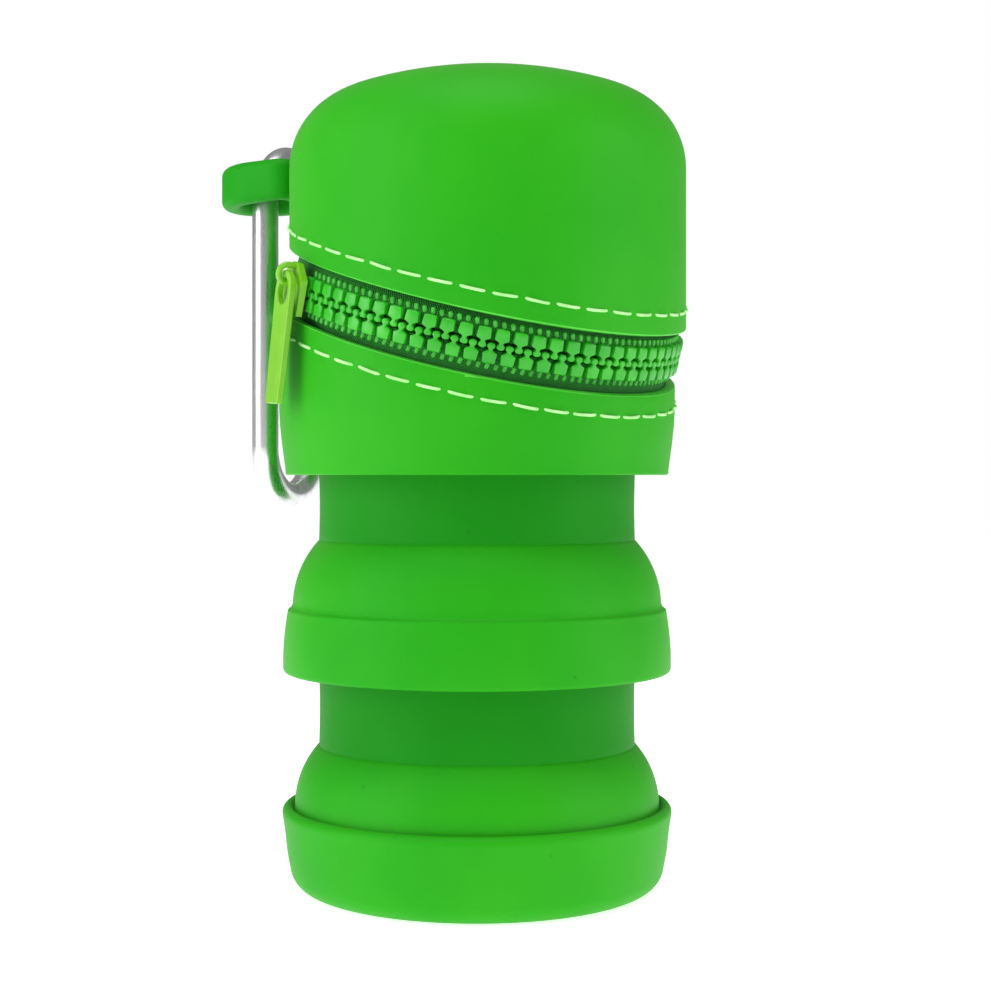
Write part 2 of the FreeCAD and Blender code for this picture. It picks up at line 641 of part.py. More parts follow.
def make_teeth():
    """Two rows of moulded teeth, one solid each, set round the zip's circle half a pitch apart."""
    middle = dim("chain_radius - chain_depth / 2")
    step = math.degrees(dim("tooth_pitch") / middle)
    count = int((chain_end - chain_start) / step)
    # half the outline of one tooth: distance along the chain, distance from the zip's middle
    wide = dim("tooth_pitch")
    half = [(0.132 * wide, -0.9), (0.182 * wide, -0.5), (0.147 * wide, 0.5), (0.279 * wide, 1.0),
            (0.353 * wide, 1.5), (0.353 * wide, 3.0), (0.265 * wide, 3.3)]
    for label, side, first in (("upper_teeth", 1, 0.25), ("lower_teeth", -1, 0.75)):
        corners = [(x, y * side) for x, y in half] + [(-x, y * side) for x, y in reversed(half)]
        face = Part.Face(Part.makePolygon([Vector(dim("chain_radius - chain_depth"), x, y)
                                           for x, y in corners + corners[:1]]))
        tooth = face.extrude(Vector(dim("chain_depth"), 0, 0))
        row = []
        for i in range(count):
            turn = Rotation(Vector(0, 0, 1), chain_start + (i + first) * step)
            row.append(tooth.transformed(Placement(Vector(), turn).Matrix))
        feature = doc.addObject("Part::Feature", label)
        feature.Label = label
        feature.Shape = Part.makeCompound(row)
        feature.Placement = zip_frame


def make_stops():
    """The blocks at the two ends of the chain that keep the slider on it."""
    stops = []
    for angle in (slider_angle - 11.5, chain_end + 19):
        block = Part.makeBox(dim("chain_depth"), 2.2, 2.6, Vector(dim("chain_radius - chain_depth"), -1.1, -3.4))
        stops.append(block.transformed(Placement(Vector(), Rotation(Vector(0, 0, 1), angle)).Matrix))
    feature = doc.addObject("Part::Feature", "zip_end_stops")
    feature.Label = "zip_end_stops"
    feature.Shape = Part.makeCompound(stops)
    feature.Placement = zip_frame


def make_stitches(label, centre, side):
    """One line of running stitches round a sewn edge, each a short length of thread."""
    radius = dim("shell_radius")
    count = int(2 * math.pi * radius / dim("stitch_pitch"))
    thread = dim("stitch_thread")
    stitches = []
    for i in range(count):
        around = 2 * math.pi * i / count
        ends = []
        for nudge in (-0.5, 0.5):
            a = around + nudge * dim("stitch_length") / radius
            x = centre.x + radius * math.cos(a)
            y = centre.y + radius * math.sin(a)
            z = zip_level(x, y) + side * dim("stitch_line") / math.cos(math.radians(dim("zip_tilt")))
            ends.append(Vector(x, y, z))
        way = ends[1] - ends[0]
        stitches.append(Part.makeCylinder(thread / 2, way.Length, ends[0], way))
    feature = doc.addObject("Part::Feature", label)
    feature.Label = label
    feature.Shape = Part.makeCompound(stitches)


def make_loop():
    """The moulded loop on the dome's back wall that the carabiner hangs in."""
    body = new_body("loop_blank")

    def stadium(inner, radius):
        """A slot-shaped outline from a distance out to the loop's round end."""
        return [(inner, f"loop_offset - {radius}"), ("loop_reach", f"loop_offset - {radius}", (f"{radius} * 1", 1)),
                ("loop_reach + " + radius, "loop_offset", (f"{radius} * 1", 1)),
                ("loop_reach", f"loop_offset + {radius}"), (inner, f"loop_offset + {radius}")]

    pad(body, lambda s: outline(s, stadium("shell_radius - dome_shift - 6", "loop_radius")), "XY_Plane",
        "loop_bottom", "loop_height")
    pocket(body, lambda s: outline(s, stadium("shell_radius - dome_shift + 2.6", "loop_hole_radius")),
           "XY_Plane", "loop_bottom", "loop_height * 3", both=True)
    flats = (dim("loop_bottom"), dim("loop_bottom + loop_height"))
    round_edges(body, lambda c, e: min(abs(c.z - f) for f in flats) < 0.01 and c.x > dim("shell_radius - dome_shift - 5"),
                "(loop_radius - loop_hole_radius) / 2 - 0.05")
    body.Placement = hinge_frame
    clear = drum("loop_trim", "shell_radius + 0.03", "dome_height", Placement(dome_centre, Rotation()))
    boolean("Part::Cut", "hang_loop", body, clear)


# ---------------------------------------------------------------- slider and pull
slider_place = zip_frame * Placement(Vector(), Rotation(Vector(0, 0, 1), slider_angle))
plate_front = "chain_radius + slider_gap + slider_plate"
pull_axis = dim(f"{plate_front} + 1.35")


def make_slider():
    """Two plates joined by a wedge, with a wire crown in front that the pull tab hangs on."""
    front = "chain_radius + slider_gap"
    back = "tape_radius - tape_thickness - slider_gap - zip_shift * 0.7"
    arc = math.degrees(dim("slider_length") / dim("chain_radius"))
    half = "slider_length / 2"
    face = new_body("slider_front")
    pad(face, lambda s: outline(s, [
        (f"-{half}", "-slider_half_width - 0.8"), (half, "-slider_half_width - 0.8"),
        (half, "slider_half_width - 1"), ("1.2", "zip_half_gap - 0.5"), ("-1.2", "zip_half_gap - 0.5"),
        (f"-{half}", "slider_half_width - 1")]), "YZ_Plane", front, "slider_plate")
    rear = new_body("slider_back")
    revolve(rear, [(f"{back} - slider_plate", "-slider_half_width + 0"), (back, "-slider_half_width + 0"),
                   (back, "slider_half_width"), (f"{back} - slider_plate", "slider_half_width")], arc)
    post = new_body("slider_post")
    revolve(post, [(f"{back} - 0.2", "-1.1 + 0"), (f"{front} + 0.4", "-1.1 + 0"),
                   (f"{front} + 0.4", "1.1"), (f"{back} - 0.2", "1.1")], arc * 0.22)
    post.Placement = Placement(Vector(), Rotation(Vector(0, 0, 1), -arc * 0.36))
    crown = new_body("slider_crown")
    hub = f"{plate_front} + 1.35"
    level = "crown_level"
    path = new_sketch(crown, "XZ_Plane")
    outline(path, [
        (f"{front} + 0.3", f"{level} - crown_arc"),
        (hub, f"{level} - crown_arc", ("crown_arc * 1", 1)),
        (f"{hub} + crown_arc", level, ("crown_arc * 1", 1)),
        (hub, f"{level} + crown_arc"),
        (f"{front} + 0.3", f"{level} + crown_arc"),
    ], closed=False)
    section = new_sketch(crown, "YZ_Plane", f"{front} + 0.3")
    circle(section, "0", f"{level} - crown_arc", "crown_wire_radius")
    arch = crown.newObject("PartDesign::AdditivePipe", "crown_sweep")
    arch.Profile = section
    arch.Spine = path
    doc.recompute()
    fused = doc.addObject("Part::MultiFuse", "slider_body")
    fused.Label = "slider_body"
    fused.Shapes = [face, rear, post, crown]
    doc.recompute()
    fused.Placement = slider_place


def make_pull():
    """The pull tab: a flat bar whose eye hangs on the slider's crown."""
    body = new_body("pull_tab")
    rim = "(pull_width / 2 - pull_eye)"
    eye = f"{rim} / 2 + pull_eye"
    side = "pull_width / 2"
    end = f"pull_length - {rim} / 2"
    pad(body, lambda s: outline(s, [
        (side, f"-({eye})", (f"{side} * 1", 1)), ("0", f"{side} - ({eye})", (f"{side} * 1", 1)),
        (f"-{side}", f"-({eye})"), (f"-{side} + 0.7", f"-({end}) + 1", ("1", 1)),
        (f"-{side} + 1.7", f"-({end})"), (f"{side} - 1.7", f"-({end})", ("1", 1)),
        (f"{side} - 0.7", f"-({end}) + 1")]), "YZ_Plane", "0", "pull_thickness", both=True)
    pocket(body, disc("0", f"-({eye})", "pull_eye"), "YZ_Plane", "0", "pull_thickness * 3", both=True)
    round_edges(body, lambda c, e: abs(abs(c.x) - dim("pull_thickness / 2")) < 0.01, "0.25")
    at = slider_place * Placement(Vector(pull_axis, 0, dim("crown_level")), Rotation())
    wall = math.degrees(math.asin(math.sin(math.radians(dim("zip_tilt"))) * math.cos(math.radians(slider_angle))))
    turn = Rotation(Vector(0, 1, 0), -dim("pull_lean") - wall) * Rotation(Vector(1, 0, 0), dim("pull_skew"))
    body.Placement = at * Placement(Vector(), turn)


# ---------------------------------------------------------------- carabiner
wire = "carabiner_wire / 2"
leg = "(carabiner_width / 2 - carabiner_wire / 2)"
low_arch = "(carabiner_length - carabiner_width)"
pivot = f"({low_arch} - 6)"
carabiner_frame = hinge_frame * Placement(
    Vector(dim("carabiner_reach"), dim("loop_offset - (loop_radius + loop_hole_radius) / 2 + 0.15"),
           dim(f"loop_bottom + loop_height + 0.1 - ({leg} - {wire})")), Rotation())


def make_carabiner():
    """A wire carabiner: the bent hook, the gate that swings inwards, and its rivet."""
    hook = new_body("carabiner_hook")
    nose = f"{pivot} - gate_length - 0.35"
    foot = f"{pivot} + {wire} + 0.4"
    path = new_sketch(hook, "YZ_Plane")
    outline(path, [
        (f"-{leg}", f"-({nose})"),
        (f"-{leg}", "0", (f"{leg} * 1", -1)),
        ("0", leg, (f"{leg} * 1", -1)),
        (leg, "0"),
        (leg, f"-{low_arch}", (f"{leg} * 1", -1)),
        ("0", f"-{low_arch} - {leg}", (f"{leg} * 1", -1)),
        (f"-{leg}", f"-{low_arch}"),
        (f"-{leg}", f"-({foot})"),
    ], closed=False)
    section = new_sketch(hook, "XY_Plane", f"-({nose})")
    circle(section, "0", f"-{leg}", wire)
    bend = hook.newObject("PartDesign::AdditivePipe", "hook_sweep")
    bend.Profile = section
    bend.Spine = path
    doc.recompute()
    pad(hook, rectangle(f"-{leg} - 1.3", f"-({nose}) - 4.2", f"-{leg} + 1.3", f"-({nose}) + 1"), "YZ_Plane", "0",
        "gate_slot - 0.3", both=True)
    pad(hook, rectangle(f"-{leg} - 1.5", f"-({foot}) - 1", f"-{leg} + 1.5", f"-{pivot} + 1.6"), "YZ_Plane", "0",
        "gate_slot - 0.2", both=True)
    pocket(hook, disc(f"-{leg}", f"-{pivot}", "rivet_radius + running_gap"), "YZ_Plane", "0", "gate_slot * 3", both=True)
    hook.Placement = carabiner_frame

    gate = new_body("carabiner_gate")
    pad(gate, disc("0", f"-{leg}", f"{wire} - 0.1"), "XY_Plane", f"-{pivot}", "gate_length")
    knuckle = new_body("gate_knuckle")
    pad(knuckle, disc(f"-{leg}", f"-{pivot}", f"{wire} - 0.1"), "YZ_Plane", "0",
        f"2 * ({wire} - 0.1) - 0.9", both=True)
    whole = boolean("Part::Fuse", "gate_whole", gate, knuckle)
    gate.Label = "gate_rod"
    slots = new_body("gate_slots")
    pad(slots, rectangle(f"-{leg} - carabiner_wire", f"-({nose}) - 5", f"-{leg} + carabiner_wire",
                         f"-({nose}) + 1"), "YZ_Plane", "0", "gate_slot", both=True)
    pad(slots, rectangle(f"-{leg} - carabiner_wire", f"-({foot}) - 2", f"-{leg} + carabiner_wire",
                         f"-{pivot} + 2.8"), "YZ_Plane", "0", "gate_slot", both=True)
    slotted = boolean("Part::Cut", "gate_slotted", whole, slots)
    bore = new_body("gate_bore")
    pad(bore, disc(f"-{leg}", f"-{pivot}", "rivet_radius + 0.01"), "YZ_Plane", "0", "carabiner_wire * 2", both=True)
    cut = boolean("Part::Cut", "gate_cut", slotted, bore)
    cut.Label = "carabiner_gate"
    cut.Placement = carabiner_frame
    drum("gate_rivet", "rivet_radius", "carabiner_wire - 1.1 + 0.5",
         carabiner_frame * Placement(Vector(-dim("(carabiner_wire - 0.6) / 2"), -dim(leg), -dim(pivot)),
                                     Rotation(Vector(0, 1, 0), 90)))


make_foot()
make_fold_wall("lower_fold_wall", "flare_top_z", "lip_z + 0.9", "flare_radius + fold_gap")
make_middle_ring()
make_fold_wall("upper_fold_wall", "ring_top_z", "skirt_z + 0.9", "ring_flare_radius + fold_gap - 0.02")
make_shell()
make_mouth_ring()
make_gasket()
make_lid()
make_flip_cap()
make_dome()
make_tapes()
make_teeth()
make_stops()
make_stitches("dome_stitching", dome_centre, 1)
make_stitches("shell_stitching", Vector(), -1)
make_loop()
make_slider()
make_pull()
make_carabiner()

nodes = [
    "base_cup", "lower_fold_wall", "middle_ring", "upper_fold_wall", "body_shell", "shell_stitching",
    "mouth_ring", "lid_gasket", "screw_lid", "flip_cap", "spout_plug", "flip_pin",
    "lower_tape", "upper_tape", "hinge_strap", "lower_teeth", "upper_teeth", "zip_end_stops",
    "slider_body", "pull_tab", "dome_cap", "dome_stitching", "hang_loop",
    "carabiner_hook", "carabiner_gate", "gate_rivet",
]
doc.recompute()
for thing in doc.Objects:
    if "Invalid" in thing.State or "Error" in thing.State:
        raise RuntimeError(f"{thing.Name} did not compute")
os.makedirs("parts", exist_ok=True)
for node in nodes:
    shape = doc.getObjectsByLabel(node)[0].Shape
    if shape.isNull() or not shape.isValid():
        raise RuntimeError(f"{node} is not a valid shape")
    shape.exportStep(f"parts/{node}.step")
    box = shape.BoundBox
    print(f"{node}: {len(shape.Solids)} solids, {shape.Volume:.0f} mm3, x {box.XMin:.1f} {box.XMax:.1f}, "
          f"y {box.YMin:.1f} {box.YMax:.1f}, z {box.ZMin:.1f} {box.ZMax:.1f}")
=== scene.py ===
import math
import bpy
from mathutils import Matrix, Vector


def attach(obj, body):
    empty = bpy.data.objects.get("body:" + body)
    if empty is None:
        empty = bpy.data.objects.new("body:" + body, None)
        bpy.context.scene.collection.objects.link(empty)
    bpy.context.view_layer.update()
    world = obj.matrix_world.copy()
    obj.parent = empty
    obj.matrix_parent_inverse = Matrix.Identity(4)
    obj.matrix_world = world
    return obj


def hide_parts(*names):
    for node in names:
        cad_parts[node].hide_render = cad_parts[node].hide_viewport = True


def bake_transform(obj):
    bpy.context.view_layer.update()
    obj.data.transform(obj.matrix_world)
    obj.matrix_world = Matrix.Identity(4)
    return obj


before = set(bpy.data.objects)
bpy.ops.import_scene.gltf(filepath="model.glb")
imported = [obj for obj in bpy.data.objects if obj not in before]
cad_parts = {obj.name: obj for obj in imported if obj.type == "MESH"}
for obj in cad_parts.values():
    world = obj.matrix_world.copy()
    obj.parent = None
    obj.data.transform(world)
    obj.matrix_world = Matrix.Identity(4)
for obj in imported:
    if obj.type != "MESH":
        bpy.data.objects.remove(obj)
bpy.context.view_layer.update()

mm = 0.001


# the object's own directions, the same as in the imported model
zipPlane = {"height": 116.67, "tilt": 17.0, "low": -48.0, "halfGap": 5.8}
hingeSide = {"azimuth": 155.0, "domeShift": 2.4, "zipShift": 1.7}


def turnZ(degrees):
    return Matrix.Rotation(math.radians(degrees), 4, "Z")


hingeFrame = turnZ(hingeSide["azimuth"])
domeCentre = hingeFrame @ Vector((-hingeSide["domeShift"] * mm, 0, 0))
zipCentre = hingeFrame @ Vector((-hingeSide["zipShift"] * mm, 0, 0)) + Vector((0, 0, zipPlane["height"] * mm))
zipFrame = (Matrix.Translation(zipCentre) @ turnZ(zipPlane["low"])
            @ Matrix.Rotation(math.radians(zipPlane["tilt"]), 4, "Y"))
zipNormal = (zipFrame.to_3x3() @ Vector((0, 0, 1))).normalized()


def zipLevel(x, y, rise=0.0):
    # height in metres of a plane beside the zip, over a point of the floor
    low = math.radians(zipPlane["low"])
    reach = (x - zipCentre.x) * math.cos(low) + (y - zipCentre.y) * math.sin(low)
    tilt = math.radians(zipPlane["tilt"])
    return zipCentre.z - reach * math.tan(tilt) + rise * mm / math.cos(tilt)


# small helpers for modelling
def clearSelection():
    if bpy.context.object and bpy.context.object.mode != "OBJECT":
        bpy.ops.object.mode_set(mode="OBJECT")
    bpy.ops.object.select_all(action="DESELECT")


def pick(piece):
    clearSelection()
    piece.select_set(True)
    bpy.context.view_layer.objects.active = piece


def addModifier(piece, kind, **values):
    pick(piece)
    modifier = piece.modifiers.new(kind.title(), kind)
    for key, value in values.items():
        setattr(modifier, key, value)
    bpy.ops.object.modifier_apply(modifier=modifier.name)


def settle(piece, name, place=None):
    # moves the piece to where it belongs and leaves its object unturned at the origin
    pick(piece)
    if place is not None:
        piece.matrix_world = place @ piece.matrix_world
    bpy.ops.object.transform_apply(location=True, rotation=True, scale=True)
    piece.name = name
    piece.data.name = name
    return piece


def smooth(piece, degrees=40):
    pick(piece)
    bpy.ops.object.shade_smooth_by_angle(angle=math.radians(degrees))


def joinAll(pieces, name):
    clearSelection()
    for piece in pieces:
        piece.select_set(True)
    bpy.context.view_layer.objects.active = pieces[0]
    bpy.ops.object.join()
    return settle(bpy.context.object, name)


def copyOf(piece, place):
    twin = piece.copy()
    twin.data = piece.data.copy()
    bpy.context.collection.objects.link(twin)
    twin.matrix_world = place @ piece.matrix_world
    return twin


def dropPiece(piece):
    bpy.data.objects.remove(piece, do_unlink=True)


def arc(cx, cy, radius, start, stop, steps):
    return [(cx + radius * math.cos(math.radians(start + (stop - start) * i / steps)),
             cy + radius * math.sin(math.radians(start + (stop - start) * i / steps))) for i in range(steps + 1)]


def bulge(x0, y0, x1, y1, radius, steps):
    # points of an arc between two ends, swelling to the right of the way from the first to the second
    half = math.hypot(x1 - x0, y1 - y0) / 2
    mx, my = (x0 + x1) / 2, (y0 + y1) / 2
    rise = math.sqrt(radius * radius - half * half)
    cx, cy = mx - (y1 - y0) / (2 * half) * rise, my + (x1 - x0) / (2 * half) * rise
    a0, a1 = math.atan2(y0 - cy, x0 - cx), math.atan2(y1 - cy, x1 - cx)
    while a1 < a0:
        a1 += 2 * math.pi
    return [(cx + radius * math.cos(a0 + (a1 - a0) * i / steps), cy + radius * math.sin(a0 + (a1 - a0) * i / steps))
            for i in range(steps + 1)]


def lathe(name, profile, segments=224, closed=False, tip=False):
    # a ring is drawn out and scaled from one radius and height to the next, as on a wheel
    clearSelection()
    r0, z0 = profile[0]
    bpy.ops.mesh.primitive_circle_add(vertices=segments, radius=r0 * mm, location=(0, 0, z0 * mm))
    piece = bpy.context.object
    bpy.ops.object.transform_apply(location=True)
    bpy.ops.object.mode_set(mode="EDIT")
    bpy.ops.mesh.select_all(action="SELECT")
    for (ra, za), (rb, zb) in zip(profile, profile[1:]):
        bpy.ops.mesh.extrude_region_move(TRANSFORM_OT_translate={"value": (0, 0, (zb - za) * mm)})
        bpy.ops.transform.resize(value=(rb / ra, rb / ra, 1), center_override=(0, 0, 0))
    if tip:
        bpy.ops.mesh.merge(type="CENTER")
    bpy.ops.mesh.select_all(action="SELECT")
    if closed:
        bpy.ops.mesh.remove_doubles(threshold=1e-6)
    bpy.ops.mesh.normals_make_consistent(inside=False)
    bpy.ops.object.mode_set(mode="OBJECT")
    return settle(piece, name)


def cutAlongZip(piece, offset, keepBelow):
    # trims a turned piece along a plane that runs beside the zip
    pick(piece)
    bpy.ops.object.mode_set(mode="EDIT")
    bpy.ops.mesh.select_all(action="SELECT")
    at = zipFrame @ Vector((0, 0, offset * mm))
    bpy.ops.mesh.bisect(plane_co=at, plane_no=zipNormal, clear_outer=keepBelow, clear_inner=not keepBelow)
    bpy.ops.object.mode_set(mode="OBJECT")


def openRims(piece):
    # selects the open edges of a mesh, in edit mode
    pick(piece)
    bpy.ops.object.mode_set(mode="EDIT")
    bpy.ops.mesh.select_mode(type="EDGE")
    bpy.ops.mesh.select_all(action="DESELECT")
    bpy.ops.mesh.select_non_manifold(extend=False, use_wire=False, use_boundary=True,
                                     use_multi_face=False, use_non_contiguous=False, use_verts=False)


# finishes
def makeGroup(name, inputs, outputs):
    group = bpy.data.node_groups.new(name, "ShaderNodeTree")
    for label, kind, value in inputs:
        socket = group.interface.new_socket(name=label, in_out="INPUT", socket_type=kind)
        if value is not None:
            socket.default_value = value
    for label, kind in outputs:
        group.interface.new_socket(name=label, in_out="OUTPUT", socket_type=kind)
    return group, group.nodes.new("NodeGroupInput"), group.nodes.new("NodeGroupOutput")


def addNode(tree, kind, **values):
    node = tree.nodes.new(kind)
    for key, value in values.items():
        if key in node.inputs:
            node.inputs[key].default_value = value
        else:
            setattr(node, key, value)
    return node


def mathNode(tree, kind, a, b, **extra):
    # a math node fed by sockets or plain numbers
    node = addNode(tree, "ShaderNodeMath", operation=kind, **extra)
    for slot, value in zip(node.inputs, (a, b)):
        if isinstance(value, (int, float)):
            slot.default_value = value
        else:
            tree.links.new(value, slot)
    return node.outputs[0]


def mixColours(tree, factor, a, b, blend="MIX"):
    node = addNode(tree, "ShaderNodeMix", data_type="RGBA", blend_type=blend)
    for slot, value in ((node.inputs[0], factor), (node.inputs[6], a), (node.inputs[7], b)):
        if isinstance(value, (int, float, tuple)):
            slot.default_value = value
        else:
            tree.links.new(value, slot)
    return node.outputs[2]


def band(tree, value, low, high, start=0.0, stop=1.0):
    node = addNode(tree, "ShaderNodeMapRange")
    tree.links.new(value, node.inputs["Value"])
    for slot, number in zip(("From Min", "From Max", "To Min", "To Max"), (low, high, start, stop)):
        node.inputs[slot].default_value = number
    return node.outputs["Result"]


def makeSkin():
    # matte moulded rubber: slow colour drift, fine grain, a few pinholes and specks of dust
    group, source, sink = makeGroup("mouldedSkin", [
        ("Deep", "NodeSocketColor", (0.02, 0.4, 0.01, 1)), ("Light", "NodeSocketColor", (0.04, 0.5, 0.01, 1)),
        ("Drift Scale", "NodeSocketFloat", 22.0), ("Grain Scale", "NodeSocketFloat", 2600.0),
        ("Speck Amount", "NodeSocketFloat", 1.0), ("Roughness", "NodeSocketFloat", 0.5)],
        [("Colour", "NodeSocketColor"), ("Roughness", "NodeSocketFloat"), ("Height", "NodeSocketFloat")])
    place = addNode(group, "ShaderNodeTexCoord").outputs["Object"]
    drift = addNode(group, "ShaderNodeTexNoise", Detail=3.0, Roughness=0.5)
    grain = addNode(group, "ShaderNodeTexNoise", Detail=2.0, Roughness=0.6)
    specks = addNode(group, "ShaderNodeTexVoronoi", Scale=240.0)
    rare = addNode(group, "ShaderNodeTexNoise", Scale=60.0, Detail=1.0)
    for node in (drift, grain, specks, rare):
        group.links.new(place, node.inputs["Vector"])
    group.links.new(source.outputs["Drift Scale"], drift.inputs["Scale"])
    group.links.new(source.outputs["Grain Scale"], grain.inputs["Scale"])
    colour = mixColours(group, band(group, drift.outputs["Fac"], 0.3, 0.7), source.outputs["Deep"],
                        source.outputs["Light"])
    spot = band(group, specks.outputs["Distance"], 0.10, 0.04)
    spot = mathNode(group, "MULTIPLY", spot, band(group, rare.outputs["Fac"], 0.60, 0.66))
    spot = mathNode(group, "MULTIPLY", spot, source.outputs["Speck Amount"], use_clamp=True)
    dark = mixColours(group, 1.0, colour, (0.45, 0.5, 0.45, 1), "MULTIPLY")
    colour = mixColours(group, mathNode(group, "MULTIPLY", spot, 0.6), colour, dark)
    group.links.new(colour, sink.inputs["Colour"])
    rough = band(group, grain.outputs["Fac"], 0.3, 0.7, -0.05, 0.05)
    rough = mathNode(group, "ADD", source.outputs["Roughness"], rough)
    rough = mathNode(group, "ADD", rough, band(group, drift.outputs["Fac"], 0.3, 0.7, 0.05, -0.04))
    group.links.new(rough, sink.inputs["Roughness"])
    height = mathNode(group, "SUBTRACT", grain.outputs["Fac"], mathNode(group, "MULTIPLY", spot, 2.0))
    group.links.new(height, sink.inputs["Height"])
    return group


def makeTwill():
    # woven tape: slanting ribs crossed by fine threads, read along the piece's own length
    group, source, sink = makeGroup("wovenTwill", [
        ("Shadow", "NodeSocketColor", (0.0, 0.08, 0.01, 1)), ("Yarn", "NodeSocketColor", (0.02, 0.32, 0.03, 1)),
        ("Ribs", "NodeSocketFloat", 420.0), ("Slant", "NodeSocketFloat", 1.0)],
        [("Colour", "NodeSocketColor"), ("Roughness", "NodeSocketFloat"), ("Height", "NodeSocketFloat")])
    uv = addNode(group, "ShaderNodeTexCoord").outputs["UV"]
    parts = addNode(group, "ShaderNodeSeparateXYZ")
    group.links.new(uv, parts.inputs[0])
    along = mathNode(group, "MULTIPLY", parts.outputs["X"], source.outputs["Ribs"])
    across = mathNode(group, "MULTIPLY", parts.outputs["Y"], mathNode(group, "MULTIPLY", source.outputs["Slant"], 16.0))
    slanted = mathNode(group, "ADD", along, across)
    rib = mathNode(group, "ABSOLUTE", mathNode(group, "SINE", mathNode(group, "MULTIPLY", slanted, math.pi), 0), 0)
    crossing = mathNode(group, "MULTIPLY", parts.outputs["Y"], math.pi * 22)
    thread = mathNode(group, "ABSOLUTE", mathNode(group, "SINE", crossing, 0), 0)
    fuzz = addNode(group, "ShaderNodeTexNoise", Scale=3000.0, Detail=1.0)
    group.links.new(addNode(group, "ShaderNodeTexCoord").outputs["Object"], fuzz.inputs["Vector"])
    height = mathNode(group, "MULTIPLY", rib, mathNode(group, "ADD", mathNode(group, "MULTIPLY", thread, 0.45), 0.55))
    tone = mathNode(group, "MULTIPLY", height, band(group, fuzz.outputs["Fac"], 0.3, 0.7, 0.75, 1.1))
    group.links.new(mixColours(group, tone, source.outputs["Shadow"], source.outputs["Yarn"]), sink.inputs["Colour"])
    group.links.new(band(group, height, 0.0, 1.0, 0.95, 0.7), sink.inputs["Roughness"])
    group.links.new(height, sink.inputs["Height"])
    return group


def makeWorn():
    # metal and hard plastic: streaks, fine scratches and rubbed patches
    group, source, sink = makeGroup("handledSurface", [
        ("Clean", "NodeSocketColor", (0.8, 0.8, 0.8, 1)), ("Rubbed", "NodeSocketColor", (0.6, 0.6, 0.6, 1)),
        ("Scratch Scale", "NodeSocketFloat", 400.0), ("Roughness", "NodeSocketFloat", 0.3)],
        [("Colour", "NodeSocketColor"), ("Roughness", "NodeSocketFloat"), ("Height", "NodeSocketFloat")])
    place = addNode(group, "ShaderNodeTexCoord").outputs["Object"]
    stretch = addNode(group, "ShaderNodeMapping")
    stretch.inputs["Scale"].default_value = (1.0, 1.0, 0.12)
    group.links.new(place, stretch.inputs["Vector"])
    streak = addNode(group, "ShaderNodeTexNoise", Detail=4.0, Roughness=0.7)
    group.links.new(source.outputs["Scratch Scale"], streak.inputs["Scale"])
    group.links.new(stretch.outputs[0], streak.inputs["Vector"])
    patch = addNode(group, "ShaderNodeTexNoise", Scale=90.0, Detail=2.0)
    group.links.new(place, patch.inputs["Vector"])
    rubbed = mathNode(group, "MULTIPLY", band(group, streak.outputs["Fac"], 0.45, 0.7),
                  band(group, patch.outputs["Fac"], 0.4, 0.65))
    group.links.new(mixColours(group, rubbed, source.outputs["Clean"], source.outputs["Rubbed"]), sink.inputs["Colour"])
    rough = band(group, streak.outputs["Fac"], 0.3, 0.7, -0.04, 0.08)
    rough = mathNode(group, "ADD", source.outputs["Roughness"], rough)
    group.links.new(rough, sink.inputs["Roughness"])
    group.links.new(streak.outputs["Fac"], sink.inputs["Height"])
    return group


skinGroup, twillGroup, wornGroup = makeSkin(), makeTwill(), makeWorn()


def makeMaterial(name, group, values, bump=0.02, bumpSpan=0.00005, **shader):
    material = bpy.data.materials.new(name)
    material.use_nodes = True
    tree = material.node_tree
    look = tree.nodes["Principled BSDF"]
    for key, value in shader.items():
        look.inputs[key].default_value = value
    effect = tree.nodes.new("ShaderNodeGroup")
    effect.node_tree = group
    for key, value in values.items():
        effect.inputs[key].default_value = value
    tree.links.new(effect.outputs["Colour"], look.inputs["Base Color"])
    tree.links.new(effect.outputs["Roughness"], look.inputs["Roughness"])
    relief = addNode(tree, "ShaderNodeBump", Strength=bump, Distance=bumpSpan)
    tree.links.new(effect.outputs["Height"], relief.inputs["Height"])
    tree.links.new(relief.outputs["Normal"], look.inputs["Normal"])
    material.diffuse_color = (0.1, 0.6, 0.1, 1)
    return material


def dress(piece, material):
    if piece.data.materials:
        for i in range(len(piece.data.materials)):
            piece.data.materials[i] = material
    else:
        piece.data.materials.append(material)


